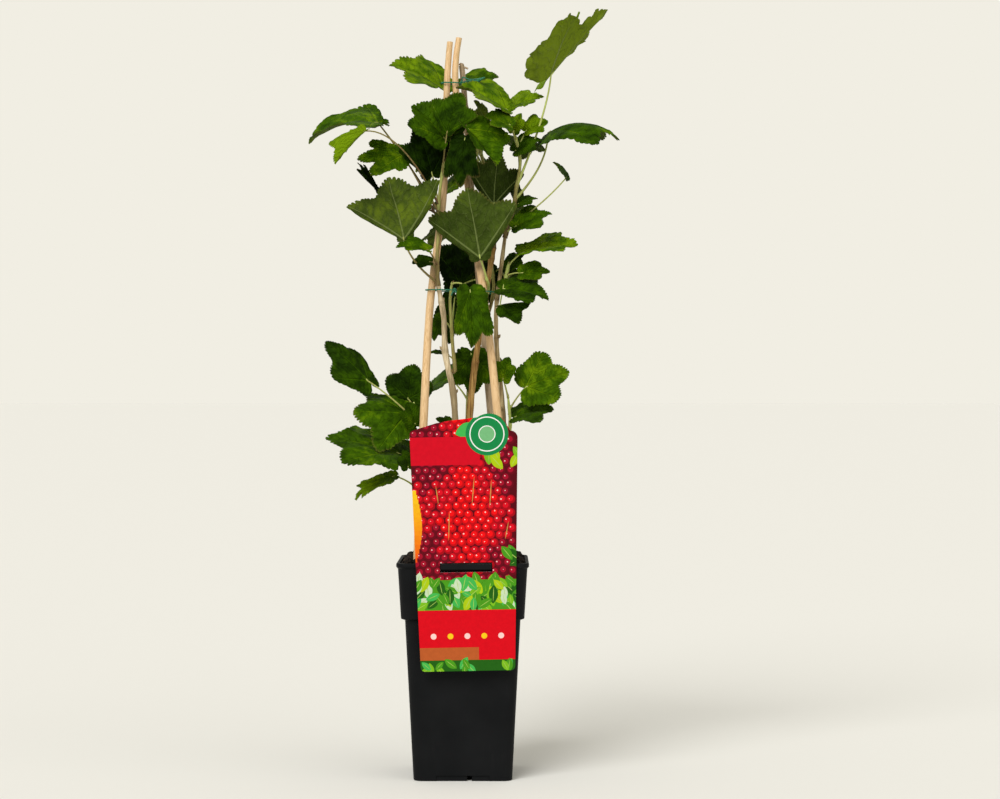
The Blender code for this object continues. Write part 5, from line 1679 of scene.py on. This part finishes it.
def filleted(profile):
    """A profile with its corners rounded, each given as a height, a half width and a radius."""
    made = []
    for before, corner, after in zip([None, *profile], profile, [*profile[1:], None]):
        middle = Vector(corner[:2])
        if before is None or after is None or not corner[2]:
            made.append(tuple(middle))
            continue
        start = middle + (Vector(before[:2]) - middle).normalized() * corner[2]
        end = middle + (Vector(after[:2]) - middle).normalized() * corner[2]
        for step in range(FILLET_STEPS + 1):
            t = step / FILLET_STEPS
            made.append(tuple(start * (1 - t) ** 2 + middle * 2 * t * (1 - t) + end * t * t))
    return made


def build_pot(tools, finish):
    """The pot with rounded corners and edges, and the recesses, slits and holes of its foot."""
    lip_foot = POT_HEIGHT - LIP_HEIGHT
    ledge = BAND_FOOT + WALL
    inside = inner_half(POT_HEIGHT)
    profile = filleted((
        (0, POT_BASE_HALF - FOOT_RIM, 0), (0, POT_BASE_HALF, FOOT_ROUND),
        (BAND_FOOT - BAND_STEP, POT_BODY_TOP_HALF, EDGE_ROUND),
        (BAND_FOOT, BAND_FOOT_HALF, EDGE_ROUND),
        (lip_foot, BAND_TOP_HALF, EDGE_ROUND), (lip_foot + LIP_TAPER, LIP_HALF, EDGE_ROUND),
        (POT_HEIGHT, LIP_HALF, LIP_ROUND), (POT_HEIGHT, inside, EDGE_ROUND),
        (ledge, inner_half(ledge + LEDGE_STEP), 0), (ledge - EDGE_ROUND, inner_half(ledge), 0),
        (FLOOR_TOP, inner_half(FLOOR_TOP), 0),
    ))
    rings = [rounded_square(half, corner_of(half), z) for z, half in profile]
    pot = mesh_object("pot_shell", loft(rings), bpy.context.scene.collection, finish)
    under = POT_BASE_HALF - FOOT_RIM
    box("hollow_under", (-under, -under, -FLOOR_UNDER), (under, under, FLOOR_UNDER), tools)
    cut_or_join(pot, tools, "DIFFERENCE")
    reach = POT_BASE_HALF + CUT_BEYOND
    edge = POT_BASE_HALF - RECESS_DEPTH
    half = RECESS_WIDTH / 2
    slit = (SLIT_OFFSET - SLIT_WIDTH / 2, SLIT_OFFSET + SLIT_WIDTH / 2)
    for side in (-1, 1):
        near, far = sorted((side * edge, side * reach))
        box("recess_y", (-half, near, -FLOOR_UNDER), (half, far, FLOOR_UNDER), tools)
        box("recess_x", (near, -half, -FLOOR_UNDER), (far, half, FLOOR_UNDER), tools)
    box("slit_y", (slit[0], -reach, -SLIT_HEIGHT), (slit[1], reach, SLIT_HEIGHT), tools)
    box("slit_x", (-reach, slit[0], -SLIT_HEIGHT), (reach, slit[1], SLIT_HEIGHT), tools)
    for x in (-DRAIN_OFFSET, DRAIN_OFFSET):
        for y in (-DRAIN_OFFSET, DRAIN_OFFSET):
            cylinder("drain", DRAIN_RADIUS, 0, FLOOR_TOP * 2, x, y, tools, DRAIN_SIDES)
    cut_or_join(pot, tools, "DIFFERENCE")
    cylinder("boss", BOSS_RADIUS, 0, FLOOR_TOP - BOSS_DROP, 0, 0, tools, BOSS_SIDES)
    box("lug", (LABEL_X - LUG_WIDTH / 2, LUG_FRONT, lip_foot + LUG_RISE),
        (LABEL_X + LUG_WIDTH / 2, -LIP_HALF + LUG_ROOT, POT_HEIGHT), tools)
    cut_or_join(pot, tools, "UNION")
    pot.data.shade_smooth()
    pot.data.set_sharp_from_angle(angle=math.radians(POT_SHARP))
    settle_piece(pot, ["pot"])


def evened(points, count):
    """A closed run of points, taken again at even steps."""
    lengths = [0.0]
    for start, end in zip(points, points[1:] + points[:1]):
        lengths.append(lengths[-1] + (end - start).length)
    made = []
    span = 0
    for index in range(count):
        aim = lengths[-1] * index / count
        while lengths[span + 1] < aim:
            span += 1
        start, end = points[span], points[(span + 1) % len(points)]
        share = (aim - lengths[span]) / max(lengths[span + 1] - lengths[span], 1e-9)
        made.append(start.lerp(end, share))
    return made


def lump(pile, middle, radius, stretch, turn, subdivisions, random):
    """A crumb of soil: a knobbly ball."""
    shape = bmesh.new()
    bmesh.ops.create_icosphere(shape, subdivisions=subdivisions, radius=1)
    spin = Matrix.Rotation(turn, 3, "Z")
    shift = Vector(random.uniform(-50, 50, 3))
    points = []
    for vert in shape.verts:
        grown = vert.co * (1 + LUMP_NOISE * noise.noise(vert.co * LUMP_SCALES[0] + shift)
                           + LUMP_NOISE * 0.5 * noise.noise(vert.co * LUMP_SCALES[1] + shift))
        shaped = Vector((grown.x * stretch[0], grown.y * stretch[1], grown.z * CRUMB_FLATNESS))
        points.append(middle + spin @ shaped * radius)
    faces = [[vert.index for vert in face.verts] for face in shape.faces]
    shape.free()
    chance = random.random()
    pile.add(points, faces, [(0, 0, 0)] * len(points), [(0, chance, 0)] * len(points))


def build_soil(finish, rods):
    """Crumbly soil in the pot, with larger crumbs where the plain solid has them."""
    random = np.random.default_rng(SEED)
    surface = inner_half(SOIL_TOP) - SOIL_GAP
    limit = surface - CRUMB_SIZES[1] * 1.5
    places = list(RIM_CRUMBS)
    while len(places) < CRUMB_COUNT:
        place = random.uniform(-limit, limit, 2)
        level = [at_height(path, SOIL_TOP) for path, _ in rods.values()]
        if min(math.hypot(place[0] - p.x, place[1] - p.y) for p in level) > CRUMB_CLEARANCE:
            places.append(tuple(place))
    pile = Pile()
    for index, (x, y) in enumerate(places):
        radius = random.uniform(*(RIM_CRUMB_SIZES if index < len(RIM_CRUMBS) else CRUMB_SIZES))
        stretch = random.uniform(*CRUMB_STRETCH, 2)
        middle = Vector((x, y, SOIL_TOP + radius * CRUMB_LIFT))
        lump(pile, middle, radius, stretch, random.uniform(*CRUMB_TURNS), 4, random)
    rim = evened(rounded_square(surface, corner_of(surface), SOIL_TOP), SOIL_SIDES)
    foot = inner_half(FLOOR_TOP + GAP) - SOIL_GAP
    ledge = BAND_FOOT + WALL
    narrow = inner_half(ledge - GAP) - SOIL_GAP
    rings = []
    for half, z in ((foot, FLOOR_TOP + GAP), (narrow, ledge - GAP)):
        corner = corner_of(half) - SOIL_GAP
        rings.append(evened(rounded_square(half, corner, z), SOIL_SIDES))
    for ring in range(SOIL_FINE_RINGS):
        share = 1 - (ring / SOIL_FINE_RINGS) ** RING_POWER
        made = []
        for point in rim:
            spot = Vector((point.x * share, point.y * share, SOIL_TOP))
            rise = SOIL_SWELL * (1 - share + 0.5 * noise.noise(spot * LUMP_FREQUENCY))
            rise += sum(size * noise.noise(spot * frequency) for size, frequency in SOIL_ROUGHNESS)
            made.append(spot + UP * rise)
        rings.append(made)
    points = [point for ring in rings for point in ring]
    faces = []
    for ring in range(len(rings) - 1):
        for side in range(SOIL_SIDES):
            after = (side + 1) % SOIL_SIDES
            low = ring * SOIL_SIDES
            high = low + SOIL_SIDES
            faces.append((low + side, low + after, high + after, high + side))
    faces.append(list(range(SOIL_SIDES))[::-1])
    top = (len(rings) - 1) * SOIL_SIDES
    faces.append([top + side for side in range(SOIL_SIDES)])
    pile.add(points, faces, [(0, 0, 0)] * len(points), [(0, SOIL_TONE, 0)] * len(points))
    reach = surface - SMALL_CRUMBS[1]
    for _ in range(SMALL_CRUMB_COUNT):
        x, y = random.uniform(-reach, reach, 2)
        radius = random.uniform(*SMALL_CRUMBS) * random.uniform(0.5, 1)
        level = SOIL_TOP + SOIL_SWELL * (1 - max(abs(x), abs(y)) / surface)
        lump(pile, Vector((x, y, level + radius * SMALL_LIFT)), radius,
             random.uniform(*SMALL_STRETCH, 2), random.uniform(*CRUMB_TURNS), 2, random)
    pile.finish("soil_crumbs", [finish], "soil", ["soil"], sharp=SOIL_SHARP)


def card_outline():
    """The card's edge, in mm from its middle line and from the ground."""
    top_half = LABEL_TOP_WIDTH / 2
    foot_half = LABEL_FOOT_WIDTH / 2
    small, large = LABEL_CORNER, SHOULDER_CORNER
    outline = arc(-foot_half + small, LABEL_FOOT + small, small, 180, 270, 8)
    outline += arc(foot_half - small, LABEL_FOOT + small, small, 270, 360, 8)
    outline += arc(top_half - large, LABEL_RIGHT_TOP - large, large, 0, 90, 8)
    outline += arc(BUMP_X, BUMP_Z, BUMP_RADIUS, 20, 125, 24)
    outline += [(-top_half * 0.25, LABEL_CREST), (-top_half * 0.5, LABEL_CREST - 2 * MM)]
    outline += arc(-top_half + small, LABEL_LEFT_TOP - small, small, 110, 180, 8)
    return [(x / MM, z / MM) for x, z in outline]


def dot(x, z, radius, sides=24):
    angles = [2 * math.pi * step / sides for step in range(sides)]
    return [(x + radius * math.cos(angle), z + radius * math.sin(angle)) for angle in angles]


def band(left, right, foot, top):
    return [(left, foot), (right, foot), (right, top), (left, top)]


def pointed_oval(x, z, length, width, degrees):
    """A leaf shape about a place, its tip in a direction."""
    along = Vector((math.cos(math.radians(degrees)), math.sin(math.radians(degrees))))
    across = Vector((-along.y, along.x))
    made = []
    for side in (1, -1):
        for step in range(12):
            t = step / 12 if side == 1 else 1 - step / 12
            made.append(Vector((x, z)) + along * length * (t - 0.5)
                        + across * side * width / 2 * math.sin(math.pi * t) ** 0.8)
    return [tuple(point) for point in made[::-1]]


def berry_field(random, left, right, foot, top):
    """Round berries in loose rows, in patches of a like ink, each paler toward its upper left."""
    shapes = []
    rows = int((top - foot) / DOT_ROW)
    for row in range(rows):
        for column in range(int((right - left) / DOT_PITCH)):
            stray_x, stray_z = random.uniform(-DOT_STRAY, DOT_STRAY, 2)
            x = left + DOT_PITCH * (column + 0.5 + 0.5 * (row % 2)) + stray_x
            z = foot + DOT_ROW * (row + 0.5) + stray_z
            patch = math.sin(x / PATCH_WIDTH + 1.3) + math.sin(z / PATCH_HEIGHT)
            patch += random.uniform(-PATCH_STRAY, PATCH_STRAY)
            rim, face = FIELD_INKS[0 if patch > PATCH_LIMIT else 1 if patch > -PATCH_LIMIT else 2]
            shapes.append((rim, dot(x, z, DOT_RADIUS)))
            shapes.append((face, dot(x - FACE_LEFT, z + FACE_UP, DOT_RADIUS * FACE_SHARE, 16)))
            glint = random.uniform(*SHINE_RADII)
            left_by, up_by = random.uniform(*SHINE_SHIFT), random.uniform(*SHINE_SHIFT)
            shapes.append((INK_SHINE, dot(x - left_by, z + up_by, glint, 8)))
    return shapes


def leaf_bed(random, left, right, foot, top, length, inks):
    """Overlapping pointed ovals over an area."""
    shapes = []
    for number in range(int((right - left) * (top - foot) / length ** 2 * OVALS_PER_AREA)):
        x, z = random.uniform(left, right), random.uniform(foot, top)
        degrees = random.uniform(*OVAL_TURNS)
        size = length * random.uniform(*OVAL_SIZES)
        oval = pointed_oval(x, z, size, size * OVAL_WIDTH, degrees)
        shapes.append((inks[number % len(inks)], oval))
        long, wide = (size * share for share in MIDRIB_SHARES)
        shapes.append((INK_MIDRIB, pointed_oval(x, z, long, wide, degrees)))
    return shapes


def label_shapes(random):
    """The print: flat shapes, each laid over the ones before it, in mm as in card_outline."""
    half = LABEL_TOP_WIDTH / 2 / MM
    crest = LABEL_CREST / MM
    foot = LABEL_FOOT / MM
    shapes = [(INK_CRIMSON, band(-half, half, foot, crest))]
    shapes += berry_field(random, -half, half, FIELD_FOOT, crest + DOT_ROW)
    for number in range(STRIGS):
        x = number + random.uniform(*STRIG_STRAY)
        x = -half * STRIGS_FROM + x * 2 * half * STRIGS_OVER / STRIGS
        z = random.uniform(FIELD_FOOT + 25, TITLE_FOOT - 15)
        length, degrees = random.uniform(*STRIG_LENGTHS), random.uniform(*STRIG_TURNS)
        shapes.append((INK_STRIG, pointed_oval(x, z, length, STRIG_WIDTH, degrees)))
    for step in range(SUNSET_STEPS):
        share = step / (SUNSET_STEPS - 1)
        top = SUNSET_TOP - step * SUNSET_STEP
        width = SUNSET_WIDTH * (0.6 + 0.6 * math.sin(math.pi * share))
        ink = tuple(low + (high - low) * share for low, high in zip(SUNSET_YELLOW, SUNSET_RED))
        shapes.append((ink, band(-half, -half + width, top - SUNSET_STEP, top)))
    shapes += leaf_bed(random, *RIGHT_LEAVES, (INK_LEAF_DARK, INK_LEAF, INK_LEAF_DARK))
    shapes += leaf_bed(random, *TOP_LEAVES, (INK_LIME, INK_LEAF_PALE, INK_LIME))
    shapes.append((INK_MINT, pointed_oval(*MINT_OVAL)))
    shapes.append((INK_LEAF, band(-half, half, LOWER_TOP, LEAVES_TOP)))
    for _ in range(2):
        shapes += leaf_bed(random, -half, half, LOWER_TOP, LEAVES_TOP, MIDDLE_LEAF, MIXED_LEAVES)
    shapes.append((INK_RED, band(-half, TITLE_RIGHT, TITLE_FOOT, TITLE_TOP)))
    shapes.append((INK_BRIGHT, band(-half, half, foot, LOWER_TOP)))
    shapes.append((INK_EARTH, band(-half, EARTH_RIGHT, STRIP_TOP, EARTH_TOP)))
    shapes.append((INK_LEAF_DARK, band(-half, half, foot, STRIP_TOP)))
    shapes += leaf_bed(random, -half, half, foot, STRIP_TOP - 2, FOOT_LEAF,
                       (INK_LEAF, INK_LEAF_PALE, INK_MINT))
    for number in range(ROW_DOTS):
        ink = SUNSET_YELLOW if number % 2 else INK_SHINE
        shapes.append((ink, dot(ROW_LEFT + ROW_PITCH * number, ROW_Z, ROW_RADIUS)))
    for ink, radius in DISC_RINGS:
        shapes.append((ink, dot(DISC[0], DISC[1], radius, 48)))
    return shapes


def build_label(finish, random):
    """The printed card: one sheet divided along the edges of its print, with a creased tongue."""
    shapes = label_shapes(random)
    slot = [(side * SLOT_WIDTH / 2 / MM, z / MM) for side, z in
            ((-1, SLOT_FOOT), (1, SLOT_FOOT), (1, SLOT_TOP), (-1, SLOT_TOP))]
    top = (SLOT_FOOT - TONGUE_DROP) / MM
    ends = [Vector((side * SLOT_WIDTH / 2 / MM, top)) for side in (-1, 1)]
    point = Vector((0, top - TONGUE_DEPTH / MM))
    width = CREASE_WIDTH / 2 / MM
    creases = []
    for end in ends:
        across = (point - end).orthogonal().normalized() * width
        for shift in (across, -across):
            creases.append([tuple(p) for p in (end, point, point + shift, end + shift)])
    outlines = [card_outline(), slot, *creases, *(points for _, points in shapes)]
    spots = []
    rings = []
    for points in outlines:
        rings.append(list(range(len(spots), len(spots) + len(points))))
        spots += [Vector(point) for point in points]
    flat, _, faces, _, _, owners = delaunay_2d_cdt(spots, [], rings, 1, PRINT_TOLERANCE)
    first_shape = len(outlines) - len(shapes)
    kept, inks = [], []
    for face, owner in zip(faces, owners):
        if 0 not in owner or 1 in owner:
            continue
        kept.append(face)
        inks.append(shapes[max(max(owner), first_shape) - first_shape][0])
    front, back = [], []
    for place in flat:
        near = min(distance_to_run(place, end, point) for end in ends)
        sunk = CREASE_DEPTH * max(0, 1 - near / width)
        x, z = place * MM
        front.append((LABEL_X + x, LABEL_FRONT + sunk, z))
        back.append((LABEL_X + x, LABEL_FRONT + LABEL_THICKNESS, z))
    count = len(flat)
    faces = [tuple(face) for face in kept]
    sides = {side: True for face in kept for side in zip(face, (*face[1:], face[0]))}
    edge = [(start, end) for start, end in sides if (end, start) not in sides]
    faces += [tuple(count + number for number in reversed(face)) for face in kept]
    faces += [(end, start, count + start, count + end) for start, end in edge]
    inks += [PAPER] * (len(kept) + len(edge))
    mesh = bpy.data.meshes.new("label_card")
    mesh.from_pydata(front + back, [], faces)
    colours = mesh.attributes.new("ink", "FLOAT_COLOR", "CORNER")
    spread = [(*ink, 1) for ink, face in zip(inks, faces) for _ in face]
    colours.data.foreach_set("color", np.array(spread, np.float32).ravel())
    mesh.materials.append(finish)
    hang = Matrix.Translation((LABEL_X, 0, SLOT_TOP))
    mesh.transform(hang @ Matrix.Rotation(LABEL_LEAN, 4, "Y") @ hang.inverted())
    label = bpy.data.objects.new("label_card", mesh)
    bpy.context.scene.collection.objects.link(label)
    settle_piece(label, ["label"])


def distance_to_run(place, start, end):
    """Distance from a place to a straight run."""
    along = end - start
    share = min(max((place - start).dot(along) / along.length_squared, 0), 1)
    return (place - start - along * share).length


def sun(name, energy, angle, turn):
    light = bpy.data.lights.new(name, "SUN")
    light.energy = energy
    light.angle = angle
    lamp = bpy.data.objects.new(name, light)
    lamp.rotation_euler = turn
    bpy.context.scene.collection.objects.link(lamp)


def light_studio():
    """A pale floor, soft light from all round with two suns, and the camera where the eye is."""
    scene = bpy.context.scene
    floor = bpy.data.meshes.new("floor")
    reach = FLOOR_SIZE / 2
    corners = [(-reach, -reach, 0), (reach, -reach, 0), (reach, reach, 0), (-reach, reach, 0)]
    floor.from_pydata(corners, [], [(0, 1, 2, 3)])
    graph = Graph("floor", 0.9, 0.1)
    floor.materials.append(graph.colour((*FLOOR_COLOUR, 1)))
    stage = bpy.data.objects.new("floor", floor)
    scene.collection.objects.link(stage)
    stage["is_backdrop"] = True

    world = bpy.data.worlds.new("studio")
    world.use_nodes = True
    tree = world.node_tree
    sky = tree.nodes["Background"]
    sky.inputs["Color"].default_value = (*AIR_COLOUR, 1)
    sky.inputs["Strength"].default_value = SKY_STRENGTH
    seen_sky = tree.nodes.new("ShaderNodeBackground")
    seen_sky.inputs["Color"].default_value = (*AIR_COLOUR, 1)
    mix = tree.nodes.new("ShaderNodeMixShader")
    path = tree.nodes.new("ShaderNodeLightPath")
    tree.links.new(path.outputs["Is Camera Ray"], mix.inputs[0])
    tree.links.new(sky.outputs[0], mix.inputs[1])
    tree.links.new(seen_sky.outputs[0], mix.inputs[2])
    tree.links.new(mix.outputs[0], tree.nodes["World Output"].inputs["Surface"])
    scene.world = world
    scene.view_settings.view_transform = "Standard"

    sun("key", KEY_ENERGY, KEY_ANGLE, KEY_TURN)
    sun("fill", FILL_ENERGY, FILL_ANGLE, FILL_TURN)

    lens = bpy.data.cameras.new("camera")
    lens.sensor_width = SENSOR
    lens.lens = FOCAL * SENSOR / FRAME_WIDTH
    lens.clip_end = FLOOR_SIZE
    eye = bpy.data.objects.new("camera", lens)
    eye.location = VIEWPOINT
    eye.rotation_euler = (math.radians(90), 0, 0)
    scene.collection.objects.link(eye)
    scene.camera = eye


def main():
    light_studio()
    tools = bpy.data.collections.new("tools")
    bpy.context.scene.collection.children.link(tools)
    random = np.random.default_rng(SEED + 1)
    rods, stems, loops, grown = layout()

    build_pot(tools, pot_material())
    bpy.data.collections.remove(tools)
    build_soil(soil_material(), rods)
    build_label(print_material(), random)
    pale_cane = cane_material("pale_bamboo", *PALE_CANE)
    # The back cane gets the darker copy of the bamboo, which is painted shade
    shaded_cane = cane_material("shaded_bamboo", *SHADED_CANE)
    for name in CANES:
        build_cane(name, *rods[name], shaded_cane if name == "cane_back" else pale_cane)
    barks = {
        "wood_left": bark_material("grey_bark", *GREY_BARK, OLD_BELOW),
        "wood_middle": bark_material("orange_bark", *ORANGE_BARK),
        "wood_right": bark_material("tan_bark", *TAN_BARK),
    }
    for name, finish in barks.items():
        build_wood(name, *rods[name], finish, random)
    twine = twine_material()
    for name, column, row, tails in (("tie_middle", MID_KNOT_COLUMN, MID_TIE_ROW, MID_TAILS),
                                     ("tie_top", TOP_KNOT_COLUMN, TOP_TIE_ROW, TOP_TAILS)):
        build_tie(name, loops[name], seen(column, row).x, tails, twine)
    leafy = [leaf_material(), stalk_material()]
    for node, leaves in grown.items():
        build_foliage(node, stems[node], leaves, leafy, random)

    bpy.context.view_layer.update()
    sizes = {name: [list(corner) for corner in box_found]
             for name, box_found in (("cad", cad_box), ("visual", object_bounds()))}


main()
